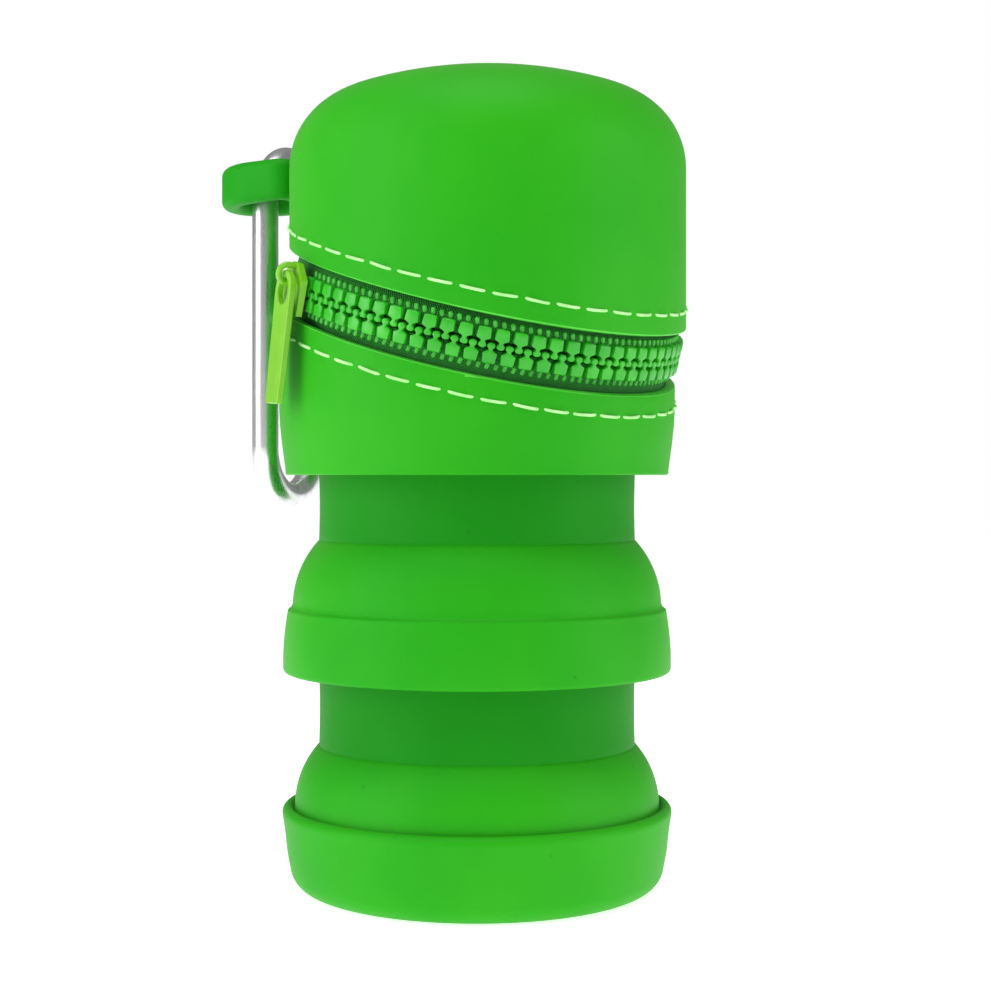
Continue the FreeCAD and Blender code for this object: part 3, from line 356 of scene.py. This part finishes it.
finishes = {
    "silicone": makeMaterial("greenSilicone", skinGroup, {
        "Deep": (0.010, 0.330, 0.002, 1), "Light": (0.024, 0.395, 0.003, 1), "Roughness": 0.54},
        bump=0.25, **{"Specular IOR Level": 0.17, "Sheen Weight": 0.07, "Sheen Roughness": 0.4,
                      "Sheen Tint": (0.9, 1.0, 0.45, 1)}),
    # painted shade: a darker copy of the green silicone for the recessed necks between the stiff rings
    "neck": makeMaterial("shadedNeckSilicone", skinGroup, {
        "Deep": (0.002, 0.225, 0.001, 1), "Light": (0.006, 0.270, 0.002, 1), "Roughness": 0.58},
        bump=0.25, **{"Specular IOR Level": 0.15, "Sheen Weight": 0.05, "Sheen Roughness": 0.4,
                      "Sheen Tint": (0.9, 1.0, 0.45, 1)}),
    # painted highlight: a paler, shinier copy of the green silicone for the cut edges beside the zip
    "edge": makeMaterial("paintedRimHighlight", skinGroup, {
        "Deep": (0.045, 0.520, 0.020, 1), "Light": (0.090, 0.600, 0.045, 1), "Roughness": 0.42,
        "Speck Amount": 0.0, "Drift Scale": 90.0}, bump=0.2, **{"Specular IOR Level": 0.4}),
    "loop": makeMaterial("darkerSilicone", skinGroup, {
        "Deep": (0.003, 0.250, 0.002, 1), "Light": (0.008, 0.305, 0.003, 1), "Roughness": 0.55},
        bump=0.25, **{"Specular IOR Level": 0.15}),
    "teeth": makeMaterial("glossyTeeth", skinGroup, {
        "Deep": (0.012, 0.350, 0.008, 1), "Light": (0.032, 0.470, 0.014, 1), "Roughness": 0.34,
        "Speck Amount": 0.0, "Drift Scale": 160.0}, bump=0.05, **{"Coat Weight": 0.15, "Coat Roughness": 0.2,
                                                               "Specular IOR Level": 0.4}),
    "tape": makeMaterial("wovenTape", twillGroup, {
        "Shadow": (0.0, 0.045, 0.006, 1), "Yarn": (0.020, 0.330, 0.022, 1)}, bump=0.8, bumpSpan=0.0002),
    "cord": makeMaterial("cordedEdge", skinGroup, {
        "Deep": (0.02, 0.34, 0.012, 1), "Light": (0.07, 0.52, 0.05, 1), "Roughness": 0.6,
        "Speck Amount": 0.0, "Drift Scale": 500.0}, bump=0.3),
    "thread": makeMaterial("sewingThread", skinGroup, {
        "Deep": (0.30, 0.78, 0.20, 1), "Light": (0.56, 0.93, 0.42, 1), "Roughness": 0.55,
        "Speck Amount": 0.0, "Drift Scale": 400.0, "Grain Scale": 4000.0}, bump=0.5),
    "paint": makeMaterial("limePaint", wornGroup, {
        "Clean": (0.175, 0.520, 0.004, 1), "Rubbed": (0.230, 0.580, 0.03, 1), "Roughness": 0.34},
        bump=0.05, **{"Coat Weight": 0.3, "Coat Roughness": 0.2}),
    "aluminium": makeMaterial("polishedAluminium", wornGroup, {
        "Clean": (0.74, 0.745, 0.75, 1), "Rubbed": (0.50, 0.51, 0.52, 1), "Roughness": 0.27},
        bump=0.08, Metallic=1.0),
    "steel": makeMaterial("plainSteel", wornGroup, {
        "Clean": (0.62, 0.61, 0.58, 1), "Rubbed": (0.5, 0.5, 0.49, 1), "Roughness": 0.3}, bump=0.1, Metallic=1.0),
    "lid": makeMaterial("lidPlastic", wornGroup, {
        "Clean": (0.045, 0.36, 0.02, 1), "Rubbed": (0.06, 0.42, 0.03, 1), "Roughness": 0.38}, bump=0.06),
    "mouth": makeMaterial("milkyPlastic", wornGroup, {
        "Clean": (0.74, 0.80, 0.74, 1), "Rubbed": (0.66, 0.74, 0.66, 1), "Roughness": 0.32}, bump=0.06,
        **{"Subsurface Weight": 0.15}),
    "seal": makeMaterial("clearSilicone", skinGroup, {
        "Deep": (0.72, 0.76, 0.72, 1), "Light": (0.80, 0.83, 0.80, 1), "Roughness": 0.42}, bump=0.15),
}
print("finishes made:", len(finishes))


# the turned shells
foot = {"rim": 39.7, "height": 17.0, "bottom": 34.5, "round": 5.0}


def makeFoot():
    outline = [(0.2, 0.0), (18, 0.0), (33.0, 0.0)]
    outline += bulge(foot["bottom"], 0.0, foot["bottom"] + 3.5, 3.5, foot["round"], 10)
    outline += [(38.75, 7.5), (39.3, 12.5)]
    outline += bulge(foot["rim"], foot["height"] - 2.0, foot["rim"] - 1.2, foot["height"], 1.6, 8)
    outline += bulge(foot["rim"] - 1.5, foot["height"] - 0.02, 37.5, foot["height"] - 0.9, 1.4, 4)[1:]
    outline += [(37.25, 16.6)] + bulge(37.2, 17.4, 32.3, 29.0, 18.0, 18)
    outline += [(31.5, 29.2), (30.5, 28.6), (34.6, 20.0), (34.6, 5.0), (32.6, 3.0), (0.2, 3.0)]
    piece = lathe("footShell", outline)
    dress(piece, finishes["silicone"])
    smooth(piece, 50)
    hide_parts("base_cup")
    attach(piece, "base")


def makeRing():
    outline = [(37.65, 48.8), (37.65, 44.2)] + arc(38.25, 44.4, 0.6, 180, 270, 4) + arc(38.7, 44.7, 0.9, -90, 0, 6)
    outline += [(39.6, 46.2)] + bulge(39.6, 47.8, 38.7, 56.0, 62, 8)
    outline += arc(38.0, 56.1, 0.7, 5, 75, 6) + [(37.92, 57.05), (37.74, 57.5)]
    outline += bulge(37.65, 58.0, 32.3, 70.6, 20, 18)
    outline += [(31.5, 70.8), (30.5, 70.2), (34.9, 63.0), (36.7, 55.8), (37.65, 48.8)]
    piece = lathe("middleRing", outline, closed=True)
    dress(piece, finishes["silicone"])
    smooth(piece, 50)
    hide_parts("middle_ring")
    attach(piece, "middle")


neck = {"outer": 32.3, "inner": 30.9, "waist": 0.14, "blendMargin": 0.4}


def makeNeck(name, bottom, top, node, webRadius):
    # the thin wall between two stiff rings, faintly waisted, with its web under the ring above
    span, inner, margin = top - bottom, neck["inner"], neck["blendMargin"]
    outline = [(inner, bottom - 1.2), (31.9, bottom - 1.2)]
    outline += [(neck["outer"] - neck["waist"] * math.sin(math.pi * i / 10), bottom + span * i / 10) for i in range(11)]
    outline += arc(33.3, top - 0.2, 0.9, 180, 90, 5)[1:]
    outline += [(webRadius, top + 0.8), (webRadius, top + 1.6), (inner, top + 1.6)]
    outline += [(inner, bottom + span * i / 10) for i in range(10, -1, -1)] + [(inner, bottom - 1.2)]
    piece = lathe(name, outline, closed=True)
    # the neck gets the darker silicone, which is painted shade for the recess
    dress(piece, finishes["neck"])
    smooth(piece, 50)
    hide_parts(node)
    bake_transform(piece)


shellSizes = {"radius": 40.4, "inner": 38.4, "top": 158.0, "skirtZ": 83.8, "edge": 0.45}
# how far from the cut the painted rim highlight reaches, in mm
rimHighlightBand = {"reach": 0.62}


def paintRimHighlight(piece, height):
    # painted highlight: the faces along the cut edge beside the zip get a paler, shinier silicone that stands in for
    # light caught on the edge
    piece.data.materials.append(finishes["edge"])
    inverse = zipFrame.inverted()
    for face in piece.data.polygons:
        levels = [(inverse @ piece.data.vertices[i].co).z / mm - height for i in face.vertices]
        face.material_index = 1 if max(abs(level) for level in levels) < rimHighlightBand["reach"] else 0


def makeShell():
    z0, outer, inner, top = (shellSizes[key] for key in ("skirtZ", "radius", "inner", "top"))
    # down the outside of the wall and round the skirt's lip
    outline = [(outer, top), (outer, z0 + 18), (outer, z0 + 13.5)]
    outline += [(40.22, z0 + 10), (39.85, z0 + 6.5), (39.45, z0 + 3.5), (39.1, z0 + 0.9)]
    outline += arc(38.65, z0 + 0.45, 0.45, 0, -90, 5) + arc(38.45, z0 + 0.3, 0.3, -90, -180, 3)[1:]
    # under the shoulder to the mouth's flange
    outline += [(38.15, z0 + 2.5), (38.1, z0 + 5), (36.6, z0 + 9.4), (34.4, z0 + 13.2), (31.0, z0 + 15.2)]
    outline += [(23.06, z0 + 15.8), (23.06, z0 + 17.8), (31.4, z0 + 17.0), (35.6, z0 + 14.3)]
    # and up the inside of the wall
    outline += [(inner, z0 + 8.2), (inner, z0 + 18), (inner, top)]
    piece = lathe("bodyShell", outline)
    cutAlongZip(piece, -zipPlane["halfGap"], True)
    openRims(piece)
    bpy.ops.mesh.bridge_edge_loops()
    bpy.ops.mesh.select_all(action="SELECT")
    bpy.ops.mesh.normals_make_consistent(inside=False)
    bpy.ops.object.mode_set(mode="OBJECT")
    addModifier(piece, "BEVEL", width=shellSizes["edge"] * mm, segments=3, limit_method="ANGLE",
                angle_limit=math.radians(60))
    dress(piece, finishes["silicone"])
    paintRimHighlight(piece, -zipPlane["halfGap"])
    smooth(piece, 50)
    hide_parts("body_shell")
    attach(piece, "upper")


dome = {"radius": 40.4, "corner": 16.0, "crown": 90.0, "top": 166.0, "wall": 1.8, "edge": 0.5}


def makeDome():
    cornerX = dome["radius"] - dome["corner"]
    spine = dome["top"] - dome["crown"]
    rise = math.sqrt((dome["crown"] - dome["corner"]) ** 2 - cornerX ** 2)
    meet = math.degrees(math.atan2(rise, cornerX))
    outline = [(dome["radius"], 77.0), (dome["radius"], 130.0), (dome["radius"], 140.0)]
    outline += arc(cornerX, spine + rise, dome["corner"], 0, meet, 20)
    outline += arc(0, spine, dome["crown"], meet, 89.9, 12)[1:]
    piece = lathe("domeCap", outline, tip=True)
    settle(piece, "domeCap", Matrix.Translation(domeCentre))
    cutAlongZip(piece, zipPlane["halfGap"], False)
    addModifier(piece, "SOLIDIFY", thickness=dome["wall"] * mm, offset=-1, use_even_offset=True)
    addModifier(piece, "BEVEL", width=dome["edge"] * mm, segments=3, limit_method="ANGLE",
                angle_limit=math.radians(60))
    dress(piece, finishes["silicone"])
    paintRimHighlight(piece, zipPlane["halfGap"])
    smooth(piece, 50)
    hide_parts("dome_cap")
    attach(piece, "cap")


makeFoot()
makeRing()
makeNeck("lowerNeck", 29.0, 43.8, "lower_fold_wall", 37.6)
makeNeck("upperNeck", 70.6, 83.8, "upper_fold_wall", 38.1)
makeShell()
makeDome()
print("shells turned")


# the zip
chain = {"start": 258.3, "stop": 513.0, "front": 41.0, "depth": 2.6, "pitch": 3.4}


def onZip(angle, radius=0.0, height=0.0):
    return zipFrame @ turnZ(angle) @ Matrix.Translation((radius * mm, 0, height * mm))


def makeTooth():
    # one moulded tooth: a plump foot, a neck and a round head towards the middle of the chain
    clearSelection()
    bpy.ops.mesh.primitive_cube_add(size=1, location=(0, 0, 2.33 * mm))
    piece = bpy.context.object
    piece.scale = (2.4 * mm, 2.95 * mm, 2.06 * mm)
    bpy.ops.object.transform_apply(location=True, rotation=True, scale=True)
    bpy.ops.object.mode_set(mode="EDIT")
    bpy.ops.mesh.select_mode(type="FACE")
    bpy.ops.mesh.select_all(action="DESELECT")
    bpy.ops.object.mode_set(mode="OBJECT")
    for face in piece.data.polygons:
        face.select = face.normal.z < -0.9
    bpy.ops.object.mode_set(mode="EDIT")

    def draw(down, wide, deep):
        bpy.ops.mesh.extrude_region_move(TRANSFORM_OT_translate={"value": (0, 0, -down * mm)})
        bpy.ops.transform.resize(value=(deep, wide, 1), center_override=(0, 0, 0))

    draw(0.42, 0.30, 0.92)
    draw(0.36, 1.0, 1.0)
    draw(0.28, 1.85, 1.0)
    draw(0.60, 1.0, 1.0)
    draw(0.26, 0.5, 0.85)
    bpy.ops.object.mode_set(mode="OBJECT")
    for face in piece.data.polygons:
        face.select = face.normal.z > 0.9
    bpy.ops.object.mode_set(mode="EDIT")
    bpy.ops.transform.resize(value=(0.95, 0.86, 1), center_override=(0, 0, 0))
    bpy.ops.object.mode_set(mode="OBJECT")
    addModifier(piece, "BEVEL", width=0.16 * mm, segments=1, limit_method="ANGLE", angle_limit=math.radians(30))
    addModifier(piece, "SUBSURF", levels=1, render_levels=1)
    return piece


def makeRows():
    middle = chain["front"] - chain["depth"] / 2
    step = math.degrees(chain["pitch"] / middle)
    count = int((chain["stop"] - chain["start"]) / step)
    tooth = makeTooth()
    flip = Matrix.Rotation(math.pi, 4, "X")
    for name, body, node, first, turned in (("upperTeeth", "cap", "upper_teeth", 0.25, Matrix.Identity(4)),
                                            ("lowerTeeth", "upper", "lower_teeth", 0.75, flip)):
        row = [copyOf(tooth, onZip(chain["start"] + (i + first) * step, middle) @ turned) for i in range(count)]
        piece = joinAll(row, name)
        dress(piece, finishes["teeth"])
        smooth(piece, 60)
        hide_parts(node)
        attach(piece, body)
    dropPiece(tooth)
    return count


ribs = {"size": (1.0, 0.85, 1.35), "edge": 0.3, "pitchRadius": 39.7, "radius": 39.15, "height": 3.95, "lean": 12}


def makeRibs():
    # the corded edge of each tape, seen as short ribs beside the feet of the teeth
    clearSelection()
    bpy.ops.mesh.primitive_cube_add(size=1, location=(0, 0, 0))
    rib = bpy.context.object
    rib.scale = [side * mm for side in ribs["size"]]
    bpy.ops.object.transform_apply(location=True, rotation=True, scale=True)
    bpy.ops.object.mode_set(mode="EDIT")
    bpy.ops.mesh.select_all(action="SELECT")
    bpy.ops.mesh.bevel(offset=ribs["edge"] * mm, segments=2, affect="EDGES")
    bpy.ops.object.mode_set(mode="OBJECT")
    step = math.degrees(chain["pitch"] / 2 / ribs["pitchRadius"])
    count = int((chain["stop"] - chain["start"]) / step)
    for name, body, side in (("upperRibs", "cap", 1), ("lowerRibs", "upper", -1)):
        lean = Matrix.Rotation(math.radians(side * ribs["lean"]), 4, "X")
        row = [copyOf(rib, onZip(chain["start"] + (i + 0.5) * step, ribs["radius"], side * ribs["height"]) @ lean)
               for i in range(count)]
        piece = joinAll(row, name)
        dress(piece, finishes["cord"])
        smooth(piece, 60)
        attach(piece, body)
    dropPiece(rib)


tape = {"start": 236.0, "stop": 533.0, "radius": 39.35, "edge": 0.9, "width": 9.3, "thickness": 0.5,
        "wallStart": 0.30, "wallSpan": 0.26, "upperWall": 37.85, "lowerWall": 37.8}


def makeTape(name, node, body, side, wallRadius, centre):
    # a woven band from the teeth back to the sewn edge inside the shell
    columns, rows = 200, 12
    clearSelection()
    bpy.ops.mesh.primitive_grid_add(x_subdivisions=columns, y_subdivisions=rows, size=2, calc_uvs=True)
    piece = bpy.context.object
    for vertex in piece.data.vertices:
        u, v = (vertex.co.x + 1) / 2, (vertex.co.y + 1) / 2
        height = side * (tape["edge"] + tape["width"] * v) * mm
        angle = tape["start"] + (tape["stop"] - tape["start"]) * u
        point = zipFrame @ turnZ(angle) @ Vector((tape["radius"] * mm, 0, height))
        flat = Vector((point.x - centre.x, point.y - centre.y))
        hidden = min(max((v - tape["wallStart"]) / tape["wallSpan"], 0), 1)
        hidden = hidden * hidden * (3 - 2 * hidden)
        reach = flat.length * (1 - hidden) + wallRadius * mm * hidden
        flat = flat.normalized() * min(flat.length, reach)
        vertex.co = (centre.x + flat.x, centre.y + flat.y, point.z)
    piece.data.update()
    addModifier(piece, "SOLIDIFY", thickness=tape["thickness"] * mm, offset=1 if side < 0 else -1)
    pick(piece)
    bpy.ops.object.mode_set(mode="EDIT")
    bpy.ops.mesh.select_all(action="SELECT")
    bpy.ops.mesh.normals_make_consistent(inside=False)
    bpy.ops.object.mode_set(mode="OBJECT")
    settle(piece, name)
    dress(piece, finishes["tape"])
    smooth(piece, 60)
    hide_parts(node)
    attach(piece, body)


stitching = {"pitch": 6.0, "length": 5.1, "line": 9.6, "thread": 0.30}


def makeStitches(name, node, body, centre, side):
    # running stitches: each thread rises out of the rubber, lies along it and dives back
    count = int(2 * math.pi * shellSizes["radius"] / stitching["pitch"])
    data = bpy.data.curves.new(name, "CURVE")
    data.dimensions = "3D"
    data.bevel_depth = stitching["thread"] * mm
    data.bevel_resolution = 3
    data.use_fill_caps = True
    for i in range(count):
        spline = data.splines.new("NURBS")
        spline.points.add(6)
        around = 2 * math.pi * i / count
        wobble = 0.10 * math.sin(i * 2.4) + 0.06 * math.sin(i * 5.1)
        for j in range(7):
            t = j / 6 - 0.5
            a = around + t * stitching["length"] / shellSizes["radius"]
            out = shellSizes["radius"] + (-0.42 if j in (0, 6) else 0.10 if j in (1, 5) else 0.20)
            x, y = centre.x + out * mm * math.cos(a), centre.y + out * mm * math.sin(a)
            spline.points[j].co = (x, y, zipLevel(x, y, side * stitching["line"]) + wobble * 2 * t * mm, 1)
        spline.order_u = 4
        spline.use_endpoint_u = True
    piece = bpy.data.objects.new(name, data)
    bpy.context.collection.objects.link(piece)
    pick(piece)
    bpy.ops.object.convert(target="MESH")
    piece = settle(bpy.context.object, name)
    dress(piece, finishes["thread"])
    smooth(piece, 60)
    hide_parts(node)
    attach(piece, body)


teethPerRow = makeRows()
makeRibs()
makeTape("upperTape", "upper_tape", "cap", 1, tape["upperWall"], domeCentre * 0.7)
makeTape("lowerTape", "lower_tape", "upper", -1, tape["lowerWall"], domeCentre * 0.2)
makeStitches("domeStitches", "dome_stitching", "cap", domeCentre, 1)
makeStitches("shellStitches", "shell_stitching", "upper", Vector((0, 0, 0)), -1)
print("zip made, teeth in a row:", teethPerRow)


# the hanging loop and the hinge strap
loop = {"reach": 47.2, "radius": 11.25, "hole": 7.0, "offset": 1.75, "bottom": 141.5, "height": 8.5,
        "root": 39.4, "sag": 0.9, "edge": 1.75, "bendStart": 40.4, "bendStop": 45.8}


def makeLoop():
    # a bar with rounded edges and a faint mould line, bent round into a ring that grows out of the dome
    barRadius = (loop["radius"] + loop["hole"]) / 2
    barHalf = (loop["radius"] - loop["hole"]) / 2
    edge = loop["edge"]
    half = loop["height"] / 2
    section = arc(barHalf - edge, half - edge, edge, 0, 90, 6) + arc(-barHalf + edge, half - edge, edge, 90, 180, 6)
    section += arc(-barHalf + edge, -half + edge, edge, 180, 270, 6)
    section += arc(barHalf - edge, -half + edge, edge, 270, 360, 6)
    section += [(barHalf, -0.35), (barHalf + 0.16, 0.0), (barHalf, 0.35)]
    profile = bpy.data.curves.new("loopSection", "CURVE")
    line = profile.splines.new("POLY")
    line.points.add(len(section) - 1)
    for point, (x, y) in zip(line.points, section):
        point.co = (x * mm, y * mm, 0, 1)
    line.use_cyclic_u = True
    profileObject = bpy.data.objects.new("loopSection", profile)
    bpy.context.collection.objects.link(profileObject)
    root, offset = loop["root"], loop["offset"]
    path = arc(loop["reach"], offset, barRadius, -90, 90, 40)
    path += [(root + 7 - i, offset + barRadius) for i in range(0, 5)]
    path += arc(root + 2.2, offset + barRadius - 2.2, 2.2, 90, 180, 6)
    path += [(root, offset + 3), (root, offset - 3)]
    path += arc(root + 2.2, offset - barRadius + 2.2, 2.2, 180, 270, 6)
    path += [(root + 3 + i, offset - barRadius) for i in range(0, 5)]
    data = bpy.data.curves.new("hangLoop", "CURVE")
    data.dimensions = "2D"
    data.fill_mode = "NONE"
    spline = data.splines.new("POLY")
    spline.points.add(len(path) - 1)
    for point, (x, y) in zip(spline.points, path):
        point.co = (x * mm, y * mm, 0, 1)
    spline.use_cyclic_u = True
    data.bevel_mode = "OBJECT"
    data.bevel_object = profileObject
    piece = bpy.data.objects.new("hangLoop", data)
    bpy.context.collection.objects.link(piece)
    pick(piece)
    bpy.ops.object.convert(target="MESH")
    piece = bpy.context.object
    dropPiece(profileObject)
    pick(piece)
    bpy.ops.object.mode_set(mode="EDIT")
    bpy.ops.mesh.select_all(action="SELECT")
    bpy.ops.mesh.remove_doubles(threshold=1e-6)
    bpy.ops.mesh.normals_make_consistent(inside=False)
    bpy.ops.object.mode_set(mode="OBJECT")
    for vertex in piece.data.vertices:
        out = min(max((vertex.co.x / mm - loop["root"] - 1) / 18, 0), 1)
        vertex.co.z = vertex.co.z * (1 + 0.05 * out) - loop["sag"] * out * mm
    settle(piece, "hangLoop", hingeFrame @ Matrix.Translation((0, 0, (loop["bottom"] + half) * mm)))
    dress(piece, finishes["loop"])
    smooth(piece, 50)
    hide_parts("hang_loop")
    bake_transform(piece)


strap = {"halfAngle": 27.6, "radius": 38.3, "swell": 0.2, "halfHeight": 10, "thickness": 0.9, "edge": 0.25,
         "bendHeight": 128.0, "bendRadius": 37, "bendHalf": 5}


def makeStrap():
    # the soft strap that joins the dome to the shell below the loop
    columns, rows = 40, 20
    clearSelection()
    bpy.ops.mesh.primitive_grid_add(x_subdivisions=columns, y_subdivisions=rows, size=2, calc_uvs=True)
    piece = bpy.context.object
    for vertex in piece.data.vertices:
        azimuth = math.radians(hingeSide["azimuth"] + strap["halfAngle"] * vertex.co.x)
        radius = (strap["radius"] + strap["swell"] * math.cos(vertex.co.y * math.pi)) * mm
        x, y = domeCentre.x + radius * math.cos(azimuth), domeCentre.y + radius * math.sin(azimuth)
        vertex.co = (x, y, zipLevel(x, y, vertex.co.y * strap["halfHeight"]))
    piece.data.update()
    addModifier(piece, "SOLIDIFY", thickness=strap["thickness"] * mm, offset=-1)
    addModifier(piece, "BEVEL", width=strap["edge"] * mm, segments=2, limit_method="ANGLE",
                angle_limit=math.radians(60))
    pick(piece)
    bpy.ops.object.mode_set(mode="EDIT")
    bpy.ops.mesh.select_all(action="SELECT")
    bpy.ops.mesh.normals_make_consistent(inside=False)
    bpy.ops.object.mode_set(mode="OBJECT")
    settle(piece, "hingeStrap")
    dress(piece, finishes["silicone"])
    smooth(piece, 50)
    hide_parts("hinge_strap")
    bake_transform(piece)


makeLoop()
makeStrap()
print("loop and strap made")


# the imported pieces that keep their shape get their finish
keptPieces = {
    "slider_body": "paint", "pull_tab": "paint", "zip_end_stops": "teeth",
    "carabiner_hook": "aluminium", "carabiner_gate": "aluminium", "gate_rivet": "steel", "flip_pin": "steel",
    "mouth_ring": "mouth", "lid_gasket": "seal", "spout_plug": "seal", "screw_lid": "lid", "flip_cap": "lid",
}
for node, finish in keptPieces.items():
    dress(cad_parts[node], finishes[finish])
print("packed pieces dressed:", len(keptPieces))


# stage, light and camera
stageSizes = {"floor": 6.0, "glow": 0.74}
view = {"distance": 0.380, "eye": 0.0838, "lens": 67.3, "shiftX": 0.0182, "shiftY": -0.0202}


def makeStage():
    clearSelection()
    bpy.ops.mesh.primitive_plane_add(size=stageSizes["floor"], location=(0, 0, -0.0002))
    floor = bpy.context.object
    floor.name = "paleFloor"
    bpy.ops.object.mode_set(mode="EDIT")
    bpy.ops.mesh.subdivide(number_cuts=4)
    bpy.ops.object.mode_set(mode="OBJECT")
    plain = bpy.data.materials.new("paleFloor")
    plain.use_nodes = True
    look = plain.node_tree.nodes["Principled BSDF"]
    for key, value in (("Base Color", (0.93, 0.93, 0.93, 1)), ("Roughness", 0.9), ("Emission Color", (1, 1, 1, 1)),
                       ("Emission Strength", stageSizes["glow"])):
        look.inputs[key].default_value = value
    floor.data.materials.append(plain)


def addLight(name, place, aim, size, power, tint=(1, 1, 1)):
    data = bpy.data.lights.new(name, "AREA")
    data.shape = "RECTANGLE"
    data.size, data.size_y = size
    data.energy = power
    data.color = tint
    lamp = bpy.data.objects.new(name, data)
    bpy.context.collection.objects.link(lamp)
    lamp.location = place
    lamp.rotation_mode = "QUATERNION"
    lamp.rotation_quaternion = (Vector(aim) - Vector(place)).to_track_quat("-Z", "Y")


makeStage()
addLight("keyLeft", (-0.72, -0.34, 0.34), (0, 0, 0.09), (0.45, 0.7), 3.6)
addLight("fillRight", (0.72, -0.22, 0.26), (0, 0, 0.09), (0.35, 0.7), 2.2)
addLight("topSoft", (-0.05, -0.22, 0.75), (0, 0, 0.1), (0.6, 0.6), 2.9)

world = bpy.data.worlds.new("studio")
bpy.context.scene.world = world
world.use_nodes = True
worldTree = world.node_tree
backdrop = worldTree.nodes["Background"]
backdrop.inputs["Color"].default_value = (1, 1, 1, 1)
backdrop.inputs["Strength"].default_value = 0.28
white = addNode(worldTree, "ShaderNodeBackground")
white.inputs["Color"].default_value = (1, 1, 1, 1)
either = addNode(worldTree, "ShaderNodeMixShader")
worldTree.links.new(addNode(worldTree, "ShaderNodeLightPath").outputs["Is Camera Ray"], either.inputs[0])
worldTree.links.new(backdrop.outputs[0], either.inputs[1])
worldTree.links.new(white.outputs[0], either.inputs[2])
worldTree.links.new(either.outputs[0], worldTree.nodes["World Output"].inputs["Surface"])

cameraData = bpy.data.cameras.new("camera")
camera = bpy.data.objects.new("camera", cameraData)
bpy.context.collection.objects.link(camera)
camera.location = (0, -view["distance"], view["eye"])
camera.rotation_euler = (math.radians(90), 0, 0)
cameraData.sensor_width = 36
cameraData.lens = view["lens"]
cameraData.shift_x, cameraData.shift_y = view["shiftX"], view["shiftY"]
cameraData.clip_start = 0.01
bpy.context.scene.camera = camera
bpy.context.scene.view_settings.view_transform = "Standard"
print("stage, light and camera set")
